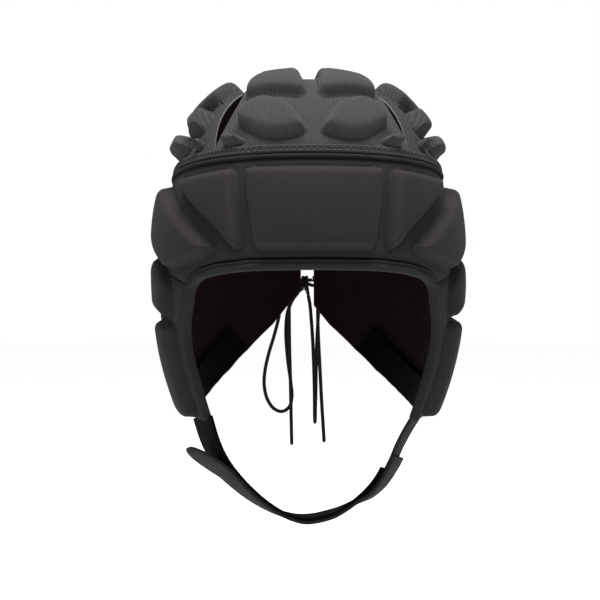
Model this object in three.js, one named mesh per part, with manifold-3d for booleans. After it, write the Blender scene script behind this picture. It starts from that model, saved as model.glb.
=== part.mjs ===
// A rugby scrum cap: moulded foam panels sewn into an open head guard, laced
// at the back and closed under the chin by a strap. Millimetres, +Z up, the
// wearer faces -Y and +X is the wearer's left. The origin is the inside top
// of the crown, where the head meets it.

import * as THREE from "three";
import { mergeVertices } from "three/addons/utils/BufferGeometryUtils.js";
import Module from "manifold-3d";

const wasm = await Module();
wasm.setup();

// Head hollow
const headHalfWidth = 71;
const headFrontDepth = 88;
const headRearDepth = 92;
const crownHeight = 99; // from the widest level up to the inside of the crown
const jawHalfWidth = 56; // half width of the hollow at the foot of the cheeks
const jawDepth = 73;
const domePower = 2.5;
const planPower = 2.2;

// Levels, as drops below the origin
const ringDrop = 48.5; // the seam between crown and band, at the sides
const ringTilt = 6.5; // how far that seam is higher at the front
const faceDrop = 95; // the top edge of the face opening
const archDrop = 103; // the top of the arch at the nape
const cheekDrop = 168;
const chinDrop = 217.2;

// Walls and clearances
const wall = 3;
const seamGap = 0.4; // between pieces that are sewn edge to edge
const layGap = 0.35; // between pieces that lie on each other
const bindingGap = 0.7; // between the binding and the panels it edges
const padSink = 1.2;
const padBevelInset = 3.2;
const padWallInset = 0.8;
const padWallShare = 0.62;
const padCornerRadius = 5;
const padSharpTurn = 65; // degrees; a gentler corner is one point
const padStep = 30;

// Pads, by how far they stand proud of the wall
const browPadHeight = 5;
const templePadHeight = 6.5;
const sidePadHeight = 6;
const rearPadHeight = 5.5;
const crownPadHeight = 7.5;
const crownFrontPadHeight = 6.3;
const smallPadHeight = 5;

// Crown
const crownSeamHalfTop = 30;
const crownSeamHalfRing = 48;
const crownSeamPower = 1.3;
const ventWidthRight = 8;
const ventWidthLeft = 4.5;
const ventAngles = [49, 83]; // over the head, from the front
const rearVentAngles = [46, 69]; // the same from the rear
const tapeWidth = 4.2;
const tapeThickness = 1;
const pipingDiameter = 2;

// Face binding and ear openings
const bindingWidth = 5.3;
const bindingThickness = 5.2;
const bindingInset = 0.9; // how far it stands inside the wall
const earHalfLength = 15;
const earHalfHeight = 19;
const earDrop = 108;
const earRearward = 7;

// Seams between the panels
const sideRearSeam = 128; // azimuth in degrees
const browTip = 112;

// Chin strap
const strapWidth = 28;
const strapThickness = 1.5;
const strapOuterThickness = 1.8;
const tabWidth = 20;
const rootWidth = 16;
const rootThickness = 1.4;
const rootLastAzimuth = 159;
const rootEdgeRise = 0.8; // from the lower edge
const rootStandOff = 0.6; // inside the wall
const strapCentre = 60; // azimuth of the strap on the cheek
const strapTuck = 2; // length trimmed off square where it meets the cheek

// Lacing
const laceDiameter = 2;
const laceGapCentre = 3.6;
const laceGapWidth = 7;
const laceRows = 3;
const laceTopDrop = 62;
const laceRowPitch = 14.5;
const loopWidth = 5;
const loopThickness = 1.1;
const loopLength = 8.5;
const loopEye = 3.8;
const loopStandOff = 0.7; // from the wall, which curves under the loop
const knotDrop = 99.6;
const knotStandOff = 7.5; // from the wall to the middle of the knot
const knotHalf = [5.2, 3.6, 4.4];

const degrees = THREE.MathUtils.degToRad;
const lerp = THREE.MathUtils.lerp;

// Tables. Azimuths are in degrees from the front; drop shares run from the
// face opening's top to the foot of the cheeks unless a heading says otherwise.

const faceEdge = [
  { azimuth: 0, drop: 0 },
  { azimuth: 10, drop: 0.002 },
  { azimuth: 20, drop: 0.007 },
  { azimuth: 32.5, drop: 0.033 },
  { azimuth: 40, drop: 0.068 },
  { azimuth: 43.6, drop: 0.118 },
  { azimuth: 45.5, drop: 0.205 },
  { azimuth: 48, drop: 0.315 },
  { azimuth: 50, drop: 0.438 },
  { azimuth: 50.5, drop: 0.575 },
  { azimuth: 49.6, drop: 0.753 },
  { azimuth: 50, drop: 1 },
];

// The seam under the temple pad: drop as a share of the face opening's drop.
const browSeam = [
  { azimuth: 50, drop: 1.056 },
  { azimuth: 62, drop: 1.021 },
  { azimuth: 75, drop: 0.958 },
  { azimuth: 85, drop: 0.874 },
  { azimuth: 95, drop: 0.779 },
  { azimuth: 105, drop: 0.664 },
  { azimuth: 112, drop: 0.549 },
];

// The lower edge from cheek to nape: 0 at the arch's top, 1 at the cheeks.
const archEdge = [
  { azimuth: 50, drop: 1 },
  { azimuth: 72, drop: 1 },
  { azimuth: 90, drop: 0.985 },
  { azimuth: 100, drop: 0.974 },
  { azimuth: 110, drop: 0.954 },
  { azimuth: 120, drop: 0.92 },
  { azimuth: 130, drop: 0.869 },
  { azimuth: 140, drop: 0.789 },
  { azimuth: 150, drop: 0.677 },
  { azimuth: 160, drop: 0.508 },
  { azimuth: 170, drop: 0.3 },
  { azimuth: 176, drop: 0.124 },
  { azimuth: 180, drop: 0 },
];

// The chin line, from the wearer's right cheek to the left one.
const chinLine = [
  { across: -1, down: 0, tilt: 20 },
  { across: -0.912, down: 0.284, tilt: 19 },
  { across: -0.811, down: 0.476, tilt: 17 },
  { across: -0.648, down: 0.665, tilt: 13 },
  { across: -0.442, down: 0.84, tilt: 8.5 },
  { across: -0.238, down: 0.955, tilt: 4.5 },
  { across: -0.044, down: 1, tilt: 1 },
  { across: 0.19, down: 0.955, tilt: 1.5 },
  { across: 0.337, down: 0.885, tilt: 3.5 },
  { across: 0.509, down: 0.765, tilt: 6 },
  { across: 0.629, down: 0.642, tilt: 8 },
  { across: 0.737, down: 0.46, tilt: 10 },
  { across: 0.802, down: 0.315, tilt: 11.5 },
  { across: 0.868, down: 0.2, tilt: 12.5 },
  { across: 1, down: 0, tilt: 16 },
];

// Pads. On the band each corner is an azimuth and a share of the way down its
// panel; on the crown's centre a share of the half width and an angle over the
// head from the front, or the rear; on its sides an azimuth and an elevation.
const browPad = {
  height: browPadHeight,
  corners: [[-23.6, 0.09], [23.6, 0.09], [18.2, 0.93], [-18.2, 0.93]],
};
const browSidePads = [
  {
    height: browPadHeight,
    corners: [
      [26.2, 0.09], [57.5, 0.1], [53.5, 0.22], [31.8, 0.67], [26, 0.88], [21.4, 0.92],
    ],
  },
  {
    height: templePadHeight,
    corners: [
      [31, 0.86], [36.5, 0.93], [57, 0.94], [86.5, 0.955], [101, 0.74], [98, 0.2], [74, 0.13],
      [51.8, 0.39], [34, 0.79],
    ],
  },
];
const sidePads = [
  {
    height: sidePadHeight,
    corners: [[59.5, 0.05], [84, 0.02], [84, 0.1], [79, 0.325], [60, 0.3]],
  },
  {
    height: sidePadHeight,
    corners: [[59.5, 0.335], [79, 0.358], [84, 0.62], [84, 0.95], [70, 0.985], [57.5, 0.97]],
  },
  { height: sidePadHeight, corners: [[89, 0.7], [105, 0.66], [106, 0.92], [89, 0.95]] },
  { height: sidePadHeight, corners: [[112, 0.1], [125, 0.1], [125, 0.4], [112, 0.4]] },
  { height: sidePadHeight, corners: [[110.5, 0.5], [125, 0.47], [125, 0.9], [110.5, 0.9]] },
];
const rearPads = [
  { height: rearPadHeight, corners: [[132, 0.1], [164, 0.12], [164, 0.48], [132, 0.38]] },
  { height: rearPadHeight, corners: [[131.5, 0.48], [147, 0.54], [147, 0.9], [131.5, 0.92]] },
  { height: rearPadHeight, corners: [[151, 0.56], [164.5, 0.6], [164.5, 0.86], [151, 0.9]] },
];
const crownLowerPad = [
  [0.04, 43.2], [0.3, 41.6], [0.5, 43.5], [0.79, 52.4], [0.75, 58], [0.5, 59], [0.18, 52.5],
];
const crownSmallPad = [[0.9, 47.5], [0.84, 51], [0.61, 43.8], [0.78, 44.2]];
const crownCentrePads = [
  { height: crownFrontPadHeight, rearward: false, corners: crownLowerPad },
  { height: crownPadHeight, rearward: true, corners: crownLowerPad },
  {
    height: crownFrontPadHeight,
    rearward: false,
    corners: [[0.05, 60], [0.14, 57.5], [0.5, 61.8], [0.78, 64], [0.82, 71], [0.74, 76.5], [0.1, 76.5]],
  },
  {
    height: crownPadHeight,
    rearward: true,
    corners: [[0.05, 60], [0.14, 57.5], [0.5, 61.8], [0.78, 64], [0.84, 81], [0.8, 90], [0.1, 90]],
  },
  { height: smallPadHeight, rearward: false, corners: crownSmallPad },
  { height: smallPadHeight, rearward: true, corners: crownSmallPad },
];
const crownSidePads = [
  {
    height: crownPadHeight,
    corners: [[51.6, 48.8], [57.5, 55.8], [65, 58.4], [74.5, 57], [79.5, 52.8], [61, 47.6]],
  },
  {
    height: crownPadHeight,
    corners: [[58, 44.3], [66, 47.8], [84, 51.6], [88.6, 51.8], [88.6, 43.2], [66, 42.6]],
  },
  { height: smallPadHeight, corners: [[46.5, 43.6], [51, 46], [55.5, 43.6], [50, 42]] },
];
const crownTopSidePad = {
  height: crownPadHeight,
  corners: [
    [65, 61], [67, 68], [78, 71], [102, 71], [113, 68], [115, 61], [103, 59],
    [97, 54.5], [83, 54.5], [77, 59],
  ],
};

// Routes of the loose lace below the knot, chosen by hand: millimetres
// from the middle of the knot, to the wearer's left, backwards and up.
const laceRoutes = {
  lace_end_right: [
    [-5.4, 0.5, -1.5], [-7.2, 0.9, -3.4], [-8.3, 1.1, -7], [-8.6, 1.2, -13], [-8.6, 1.2, -22],
    [-8.5, 1.1, -32], [-8.3, 1, -42], [-8, 0.9, -52], [-7.8, 0.8, -62], [-7.6, 0.7, -72],
    [-7.4, 0.6, -82], [-7.2, 0.5, -91],
  ],
  lace_end_left: [
    [5.4, 0.6, -1.5], [6.8, 1.2, -3.4], [7.3, 1.4, -7], [7.4, 1.4, -14], [7.6, 1.3, -24],
    [8, 1.2, -34], [8.5, 1.1, -44], [9, 1, -54], [9.5, 0.9, -64], [10.1, 0.8, -74],
    [10.6, 0.7, -82], [11, 0.6, -89.6],
  ],
  lace_bow_right: [
    [-4.6, 2.6, 2], [-8, 3.8, 1.4], [-11.2, 4.2, -2.6], [-13, 4.2, -10], [-14.6, 4.2, -20],
    [-17.2, 4.2, -30], [-20.2, 4.2, -40], [-22.3, 4.2, -50], [-22.6, 4.2, -58],
    [-20.8, 4.3, -65.5], [-17, 4.4, -70.8], [-12.4, 4.5, -72.3], [-8.4, 4.5, -69.6],
    [-7, 4.5, -64], [-7.6, 4.4, -56], [-9, 4.3, -46], [-10, 4.2, -36], [-10.4, 4.1, -26],
    [-9.4, 4, -16], [-6.4, 3.9, -9], [-3.2, 3.6, -4.9],
  ],
  lace_bow_left: [
    [4.6, 2.8, 2], [7.4, 4.2, 0.6], [8.6, 5, -5], [8.2, 5.2, -14], [7.6, 5.1, -24],
    [7.1, 4.9, -34], [6.8, 4.7, -44], [6.6, 4.4, -54], [6.4, 4, -64], [6.2, 3.8, -71],
    [6.2, 5, -76.4], [6.2, 9, -78.6], [6.2, 12.4, -75.6], [6.2, 13.2, -70], [6.1, 13, -60],
    [5.8, 12.4, -50], [5.4, 11.6, -40], [4.9, 10.6, -30], [4.2, 9.4, -21], [3.4, 7.6, -12.6],
    [2.2, 5.2, -6.2],
  ],
};

const fabric = (color, roughness) =>
  new THREE.MeshStandardMaterial({ color, roughness, metalness: 0 });
const shellCloth = fabric(0x2f2d2e, 0.85);
const crownCloth = fabric(0x3a393b, 0.9);
const tapeCloth = fabric(0x404042, 0.9);
const bindingCloth = fabric(0x292929, 0.75);
const strapCloth = fabric(0x262626, 0.85);
const hookCloth = fabric(0x0b0b0c, 0.95);
const laceCloth = fabric(0x222222, 0.9);

// The form of the head

function depthAt(z, rear) {
  const full = rear ? headRearDepth : headFrontDepth;
  if (z >= -crownHeight) return full;
  const share = (-crownHeight - z) / (cheekDrop - crownHeight);
  return full - (full - jawDepth) * share * share;
}

function halfWidthAt(z) {
  if (z >= -crownHeight) return headHalfWidth;
  const share = (-crownHeight - z) / (cheekDrop - crownHeight);
  return headHalfWidth - (headHalfWidth - jawHalfWidth) * share * share;
}

// 1 on the form, less inside it.
function level(x, y, z) {
  const plan =
    Math.abs(x / halfWidthAt(z)) ** planPower + Math.abs(y / depthAt(z, y > 0)) ** planPower;
  const rise = Math.max(0, (z + crownHeight) / crownHeight);
  return plan ** (domePower / planPower) + rise ** domePower;
}

function normalAt(p) {
  const h = 0.05;
  return new THREE.Vector3(
    level(p.x + h, p.y, p.z) - level(p.x - h, p.y, p.z),
    level(p.x, p.y + h, p.z) - level(p.x, p.y - h, p.z),
    level(p.x, p.y, p.z + h) - level(p.x, p.y, p.z - h),
  ).normalize();
}

// The point of the form at an azimuth in degrees and a height.
function onBand(azimuth, z) {
  const sin = Math.sin(degrees(azimuth));
  const cos = Math.cos(degrees(azimuth));
  const plan =
    Math.abs(sin / halfWidthAt(z)) ** planPower +
    Math.abs(cos / depthAt(z, cos < 0)) ** planPower;
  const rise = Math.max(0, (z + crownHeight) / crownHeight);
  const radius = (1 - rise ** domePower) ** (1 / domePower) * plan ** (-1 / planPower);
  return new THREE.Vector3(radius * sin, -radius * cos, z);
}

// The point of the dome in a direction from the middle of its widest level.
function onDome(direction) {
  const plan =
    Math.abs(direction.x / headHalfWidth) ** planPower +
    Math.abs(direction.y / depthAt(0, direction.y > 0)) ** planPower;
  const rise = Math.abs(direction.z / crownHeight) ** domePower;
  const reach = (plan ** (domePower / planPower) + rise) ** (-1 / domePower);
  return direction.clone().multiplyScalar(reach).add(new THREE.Vector3(0, 0, -crownHeight));
}

function domeAt(azimuth, elevation) {
  const flat = Math.cos(degrees(elevation));
  return onDome(
    new THREE.Vector3(
      flat * Math.sin(degrees(azimuth)),
      -flat * Math.cos(degrees(azimuth)),
      Math.sin(degrees(elevation)),
    ),
  );
}

// The point of the dome at a distance from the middle plane and an angle over the head.
function overHead(x, angle) {
  let near = 1;
  let far = headFrontDepth + crownHeight;
  const cos = Math.cos(degrees(angle));
  const sin = Math.sin(degrees(angle));
  for (let i = 0; i < 40; i++) {
    const middle = (near + far) / 2;
    if (level(x, -middle * cos, middle * sin - crownHeight) < 1) near = middle;
    else far = middle;
  }
  return new THREE.Vector3(x, -near * cos, near * sin - crownHeight);
}

const lift = (p, distance) => p.clone().addScaledVector(normalAt(p), distance);

function readTable(table, key, value, result) {
  const last = table.length - 1;
  if (value <= table[0][key]) return table[0][result];
  for (let i = 0; i < last; i++) {
    const a = table[i];
    const b = table[i + 1];
    if (value <= b[key]) return lerp(a[result], b[result], (value - a[key]) / (b[key] - a[key]));
  }
  return table[last][result];
}

const azimuthOf = (p) => THREE.MathUtils.radToDeg(Math.atan2(Math.abs(p.x), -p.y));
const ringHeight = (azimuth) => ringTilt * Math.cos(degrees(azimuth)) - ringDrop;
const archHeight = (azimuth) =>
  -lerp(archDrop, cheekDrop, readTable(archEdge, "azimuth", azimuth, "drop"));

// The face opening's edge, and lines beside it at a distance

const faceCurve = new THREE.CatmullRomCurve3(
  faceEdge.map((row) => new THREE.Vector3(row.azimuth, -lerp(faceDrop, cheekDrop, row.drop), 0)),
  false,
  "centripetal",
);

// Points of the edge on the wearer's left, moved sideways away from the opening.
function faceLine(distance, steps) {
  const points = faceCurve.getPoints(steps).map((p) => onBand(p.x, p.y));
  return points.map((p, i) => {
    const before = points[Math.max(0, i - 1)].clone();
    if (i === 0) before.set(-points[1].x, points[1].y, points[1].z);
    const along = points[Math.min(steps, i + 1)].clone().sub(before).normalize();
    const aside = along.cross(normalAt(p)).normalize().multiplyScalar(-distance);
    const moved = p.clone().add(aside);
    return onBand(azimuthOf(moved), moved.z);
  });
}

const panelLine = faceLine(bindingWidth + bindingGap, 120);
const cornerIndex = panelLine.findIndex((p) => p.z < -faceDrop * browSeam[0].drop);
const cornerPoint = panelLine[cornerIndex];
const cornerAzimuth = azimuthOf(cornerPoint);
const panelTop = panelLine
  .slice(0, cornerIndex + 1)
  .map((p) => ({ azimuth: azimuthOf(p), z: p.z }));
const panelFront = panelLine.slice(cornerIndex - 1).map((p) => ({ azimuth: azimuthOf(p), down: -p.z }));

function seamHeight(azimuth) {
  const rows = browSeam.map((row) => ({ azimuth: row.azimuth, z: -faceDrop * row.drop }));
  rows[0] = { azimuth: cornerAzimuth, z: cornerPoint.z };
  return readTable(rows, "azimuth", azimuth, "z");
}

const browBottom = (azimuth) =>
  azimuth < cornerAzimuth
    ? readTable(panelTop, "azimuth", azimuth, "z")
    : seamHeight(azimuth) + seamGap / 2;
const sideTop = (azimuth) =>
  (azimuth <= browTip + 1e-6 ? seamHeight(azimuth) : ringHeight(azimuth)) - seamGap / 2;

// Solids

function signedVolume(vertices, triangles) {
  let sum = 0;
  for (const [a, b, c] of triangles)
    sum += vertices[a].dot(vertices[b].clone().cross(vertices[c]));
  return sum / 6;
}

function closedGeometry(vertices, triangles) {
  const inward = signedVolume(vertices, triangles) < 0;
  const geometry = new THREE.BufferGeometry().setFromPoints(vertices);
  geometry.setIndex(triangles.flatMap(([a, b, c]) => (inward ? [a, c, b] : [a, b, c])));
  return geometry;
}

function toSolid(geometry) {
  const bare = new THREE.BufferGeometry().setAttribute("position", geometry.getAttribute("position"));
  bare.setIndex(geometry.getIndex());
  const merged = mergeVertices(bare, 1e-4);
  return new wasm.Manifold(
    new wasm.Mesh({
      numProp: 3,
      vertProperties: merged.attributes.position.array,
      triVerts: new Uint32Array(merged.index.array),
    }),
  );
}

function toGeometry(solid) {
  const { vertProperties, triVerts, numProp } = solid.getMesh();
  const positions = new Float32Array((vertProperties.length / numProp) * 3);
  for (let i = 0; i < positions.length / 3; i++)
    positions.set(vertProperties.subarray(i * numProp, i * numProp + 3), i * 3);
  return new THREE.BufferGeometry()
    .setAttribute("position", new THREE.BufferAttribute(positions, 3))
    .setIndex(new THREE.BufferAttribute(triVerts, 1));
}

// A wall over a patch of the form, between two distances from it.
function patchWall(patch, across, down, inner, outer) {
  const vertices = [];
  for (const distance of [outer, inner])
    for (let j = 0; j <= down; j++)
      for (let i = 0; i <= across; i++) vertices.push(lift(patch(i / across, j / down), distance));
  const layer = (across + 1) * (down + 1);
  const at = (i, j, side) => side * layer + j * (across + 1) + i;
  const triangles = [];
  const face = (a, b, c, d) => triangles.push([a, b, c], [a, c, d]);
  for (let j = 0; j < down; j++)
    for (let i = 0; i < across; i++) {
      face(at(i, j, 0), at(i, j + 1, 0), at(i + 1, j + 1, 0), at(i + 1, j, 0));
      face(at(i, j, 1), at(i + 1, j, 1), at(i + 1, j + 1, 1), at(i, j + 1, 1));
    }
  for (let i = 0; i < across; i++) {
    face(at(i, 0, 0), at(i + 1, 0, 0), at(i + 1, 0, 1), at(i, 0, 1));
    face(at(i + 1, down, 0), at(i, down, 0), at(i, down, 1), at(i + 1, down, 1));
  }
  for (let j = 0; j < down; j++) {
    face(at(0, j + 1, 0), at(0, j, 0), at(0, j, 1), at(0, j + 1, 1));
    face(at(across, j, 0), at(across, j + 1, 0), at(across, j + 1, 1), at(across, j, 1));
  }
  return closedGeometry(vertices, triangles);
}

// Rings of equal count joined one after another, as a closed hoop or with flat ends.
function ringSweep(rings, hoop) {
  const count = rings[0].length;
  const triangles = [];
  const spans = hoop ? rings.length : rings.length - 1;
  for (let i = 0; i < spans; i++)
    for (let k = 0; k < count; k++) {
      const next = (k + 1) % count;
      const here = i * count;
      const there = ((i + 1) % rings.length) * count;
      triangles.push([here + k, here + next, there + next], [here + k, there + next, there + k]);
    }
  const last = (rings.length - 1) * count;
  for (let k = 1; !hoop && k < count - 1; k++)
    triangles.push([0, k + 1, k], [last, last + k, last + k + 1]);
  return closedGeometry(rings.flat(), triangles);
}

// A flat section whose outer corners are cut: aside runs across it, out through its thickness.
function flatSection(centre, aside, out, width, thickness, cut) {
  const w = width / 2;
  const t = thickness / 2;
  return [
    [-w, -t], [w, -t], [w, t - cut], [w - cut, t], [-w + cut, t], [-w, t - cut],
  ].map(([a, b]) => centre.clone().addScaledVector(aside, a).addScaledVector(out, b));
}

// Pads

function roundedCorners(corners, radius) {
  const points = [];
  corners.forEach((corner, i) => {
    const before = corners[(i + corners.length - 1) % corners.length];
    const after = corners[(i + 1) % corners.length];
    const reach = Math.min(radius, corner.distanceTo(before) * 0.42, corner.distanceTo(after) * 0.42);
    const from = corner.clone().add(before.clone().sub(corner).setLength(reach));
    const to = corner.clone().add(after.clone().sub(corner).setLength(reach));
    const middle = corner.clone().multiplyScalar(2).add(from).add(to).multiplyScalar(0.25);
    const turn = Math.abs(corner.clone().sub(before).angleTo(after.clone().sub(corner)));
    if (turn < degrees(padSharpTurn)) points.push(middle);
    else points.push(from, to);
    const nextReach = Math.min(radius, corner.distanceTo(after) * 0.42);
    const run = corner.distanceTo(after) - reach - nextReach;
    const parts = Math.floor(run / padStep);
    for (let k = 1; k <= parts; k++)
      points.push(
        to.clone().add(after.clone().sub(corner).setLength((run * k) / (parts + 1))),
      );
  });
  return points;
}

function insetOutline(points, distance) {
  return points.map((p, i) => {
    const before = points[(i + points.length - 1) % points.length];
    const after = points[(i + 1) % points.length];
    const along = after.clone().sub(before).normalize();
    return p.clone().add(new THREE.Vector2(-along.y, along.x).multiplyScalar(distance));
  });
}

// A raised pad over the form. Its ground is where a ray from the axis meets the
// form; the outline is drawn on the plane that touches the form at its middle.
function padSolid(corners, height, { ground, axisPoint }) {
  const centre = ground(
    corners.reduce((sum, p) => sum.add(p), new THREE.Vector3()).divideScalar(corners.length),
  );
  const out = normalAt(centre);
  const right = new THREE.Vector3(0, 0, 1).cross(out);
  if (right.lengthSq() < 0.01) right.set(1, 0, 0);
  right.normalize();
  const up = out.clone().cross(right);
  const flat = corners.map((p) => {
    const start = axisPoint(p);
    const ray = p.clone().sub(start);
    const reach = centre.clone().sub(start).dot(out) / ray.dot(out);
    const from = start.addScaledVector(ray, reach).sub(centre);
    return new THREE.Vector2(from.dot(right), from.dot(up));
  });
  if (THREE.ShapeUtils.area(flat) < 0) flat.reverse();
  const outline = roundedCorners(flat, padCornerRadius);
  const place = (q, distance) =>
    lift(
      ground(centre.clone().addScaledVector(right, q.x).addScaledVector(up, q.y)),
      wall + distance,
    );
  const size = Math.sqrt(Math.abs(THREE.ShapeUtils.area(flat)));
  const bevel = Math.min(padBevelInset, size * 0.16);
  const top = insetOutline(outline, bevel);
  const rings = [
    outline.map((q) => place(q, -padSink)),
    insetOutline(outline, padWallInset).map((q) => place(q, height * padWallShare)),
    top.map((q) => place(q, height)),
  ];
  if (size > padStep) rings.push(top.map((q) => place(q.clone().multiplyScalar(0.5), height)));
  const count = outline.length;
  const triangles = [];
  rings.slice(1).forEach((ring, i) => {
    for (let k = 0; k < count; k++) {
      const next = (k + 1) % count;
      const here = i * count;
      const there = here + count;
      triangles.push([here + k, here + next, there + next], [here + k, there + next, there + k]);
    }
  });
  for (let k = 1; k < count - 1; k++) triangles.push([0, k + 1, k]);
  const vertices = rings.flat();
  const last = (rings.length - 1) * count;
  vertices.push(place(new THREE.Vector2(0, 0), height));
  for (let k = 0; k < count; k++) triangles.push([last + k, last + ((k + 1) % count), vertices.length - 1]);
  return toSolid(closedGeometry(vertices, triangles));
}

const bandGround = (p) => onBand(THREE.MathUtils.radToDeg(Math.atan2(p.x, -p.y)), p.z);
const overBand = { ground: bandGround, axisPoint: (p) => new THREE.Vector3(0, 0, p.z) };
const overDome = {
  ground: (p) => onDome(p.clone().add(new THREE.Vector3(0, 0, crownHeight)).normalize()),
  axisPoint: () => new THREE.Vector3(0, 0, -crownHeight),
};

const cap = new THREE.Group();

function addPiece(name, geometry, material) {
  const mesh = new THREE.Mesh(geometry, material);
  mesh.name = name;
  cap.add(mesh);
}

function joined(base, additions, cuts = []) {
  let solid = toSolid(base);
  for (const piece of additions) solid = solid.add(piece);
  for (const piece of cuts) solid = solid.subtract(piece);
  return toGeometry(solid);
}

const mirrorAzimuth = ([a, b], side) => [side * a, b];

// A block that fills everything below a height, or above it as far as a pad's thickness.
function slabBelow(z) {
  const size = 4 * headHalfWidth;
  const block = new THREE.BoxGeometry(size, size, size).translate(0, 0, z - size / 2);
  block.deleteAttribute("normal");
  block.deleteAttribute("uv");
  return toSolid(mergeVertices(block, 1e-4));
}

function slabAbove(z) {
  const size = 4 * headHalfWidth;
  return slabBelow(z + size);
}

// The brow panel, from temple to temple

// Columns crowd towards the corner of the face opening, as shares of its azimuth.
const cornerColumns = [0, 0.17, 0.34, 0.5, 0.64, 0.76, 0.85, 0.92, 0.97, 1];
const templeColumns = 8;

function browPanel() {
  const half = cornerColumns.length - 1 + templeColumns;
  const azimuths = [];
  for (let i = -half; i <= half; i++) {
    const k = Math.abs(i);
    const beyond = (k - cornerColumns.length + 1) / templeColumns;
    const azimuth =
      beyond <= 0 ? cornerColumns[k] * cornerAzimuth : lerp(cornerAzimuth, browTip, beyond);
    azimuths.push(Math.sign(i) * azimuth);
  }
  const patch = (u, v) => {
    const azimuth = azimuths[Math.round(u * 2 * half)];
    const top = ringHeight(azimuth) - seamGap / 2;
    return onBand(azimuth, lerp(top, browBottom(Math.abs(azimuth)), v));
  };
  const at = ([azimuth, share]) => {
    const top = ringHeight(azimuth) - seamGap / 2;
    return onBand(azimuth, lerp(top, browBottom(Math.abs(azimuth)), share));
  };
  const pads = [padSolid(browPad.corners.map(at), browPad.height, overBand)];
  for (const side of [-1, 1])
    for (const pad of browSidePads) {
      const corners = pad.corners.map((corner) => at(mirrorAzimuth(corner, side)));
      pads.push(padSolid(corners, pad.height, overBand));
    }
  return joined(patchWall(patch, 2 * half, 3, 0, wall), pads);
}

// The side panels, from the face binding to the seam behind the ear

function sideFront(v) {
  let azimuth = cornerAzimuth;
  let z = cornerPoint.z;
  for (let i = 0; i < 12; i++) {
    z = lerp(sideTop(azimuth), archHeight(azimuth), v);
    azimuth = readTable(panelFront, "down", -z, "azimuth");
  }
  return azimuth;
}

function sidePanel(side) {
  const rear = sideRearSeam - (seamGap / 2 / headHalfWidth) * (180 / Math.PI);
  const columns = 12;
  const behindTip = 2;
  const patch = (u, v) => {
    const column = u * columns;
    const azimuth =
      column <= columns - behindTip
        ? lerp(sideFront(v), browTip, column / (columns - behindTip))
        : lerp(browTip, rear, (column - columns + behindTip) / behindTip);
    return onBand(side * azimuth, lerp(sideTop(azimuth), archHeight(azimuth), v));
  };
  const at = ([azimuth, share]) =>
    onBand(side * azimuth, lerp(sideTop(azimuth), archHeight(azimuth), share));
  const pads = sidePads.map((pad) => padSolid(pad.corners.map(at), pad.height, overBand));
  const ear = new THREE.Shape().absellipse(0, 0, earHalfLength, earHalfHeight, 0, 2 * Math.PI);
  const hole = new THREE.ExtrudeGeometry(ear, {
    depth: headHalfWidth,
    bevelEnabled: false,
    curveSegments: 10,
  });
  hole.rotateX(Math.PI / 2);
  hole.rotateZ(Math.PI / 2);
  hole.translate(side > 0 ? headHalfWidth / 2 : -1.5 * headHalfWidth, earRearward, -earDrop);
  hole.deleteAttribute("normal");
  hole.deleteAttribute("uv");
  const cuts = [toSolid(mergeVertices(hole, 1e-4)), slabBelow(-cheekDrop)];
  return joined(patchWall(patch, columns, 6, 0, wall), pads, cuts);
}

// The rear panels, from that seam to the lacing

function rearPanel(side) {
  const edge = laceGapCentre + (side * laceGapWidth) / 2;
  const front = sideRearSeam + (seamGap / 2 / headHalfWidth) * (180 / Math.PI);
  const last = (z) => {
    const back = onBand(180, z).y;
    return 180 - THREE.MathUtils.radToDeg(Math.atan2(side * edge, back));
  };
  const place = (azimuth, share) => {
    const top = ringHeight(azimuth) - seamGap / 2;
    return lerp(top, archHeight(azimuth), share);
  };
  const patch = (u, v) => {
    let azimuth = lerp(front, 178, u);
    for (let i = 0; i < 4; i++) azimuth = lerp(front, last(place(azimuth, v)), u);
    return onBand(side * azimuth, place(azimuth, v));
  };
  const at = ([azimuth, share]) => onBand(side * azimuth, place(azimuth, share));
  const pads = rearPads.map((pad) => padSolid(pad.corners.map(at), pad.height, overBand));
  return joined(patchWall(patch, 8, 5, 0, wall), pads);
}

// The crown: a strip over the middle and a panel each side, with vents between

const ringAngle = (x) => {
  let low = 10;
  let high = 80;
  for (let i = 0; i < 30; i++) {
    const middle = (low + high) / 2;
    const p = overHead(x, middle);
    if (p.z < ringHeight(azimuthOf(p)) + seamGap / 2) low = middle;
    else high = middle;
  }
  return low;
};
const ringAngleRear = (x) => {
  let low = 100;
  let high = 170;
  for (let i = 0; i < 30; i++) {
    const middle = (low + high) / 2;
    const p = overHead(x, middle);
    if (p.z < ringHeight(azimuthOf(p)) + seamGap / 2) high = middle;
    else low = middle;
  }
  return high;
};

const crownStations = 14; // along the seams between the crown's panels

const frontRingAngle = ringAngle(crownSeamHalfRing);
const rearRingAngle = ringAngleRear(crownSeamHalfRing);

function seamHalf(angle) {
  const end = Math.abs(Math.cos(degrees(frontRingAngle)));
  const share = Math.min(1, Math.abs(Math.cos(degrees(angle))) / end);
  return lerp(crownSeamHalfTop, crownSeamHalfRing, share ** crownSeamPower);
}

// Half of a vent's opening beside the seam: two lenses, in front and behind.
function ventHalf(angle, side) {
  const width = side > 0 ? ventWidthLeft : ventWidthRight;
  const [first, last] = angle < 90 ? ventAngles : rearVentAngles;
  const share = (Math.min(angle, 180 - angle) - first) / (last - first);
  const lens = share > 0 && share < 1 ? Math.sin(Math.PI * share) : 0;
  return seamGap / 2 + (width / 2) * lens;
}

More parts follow.
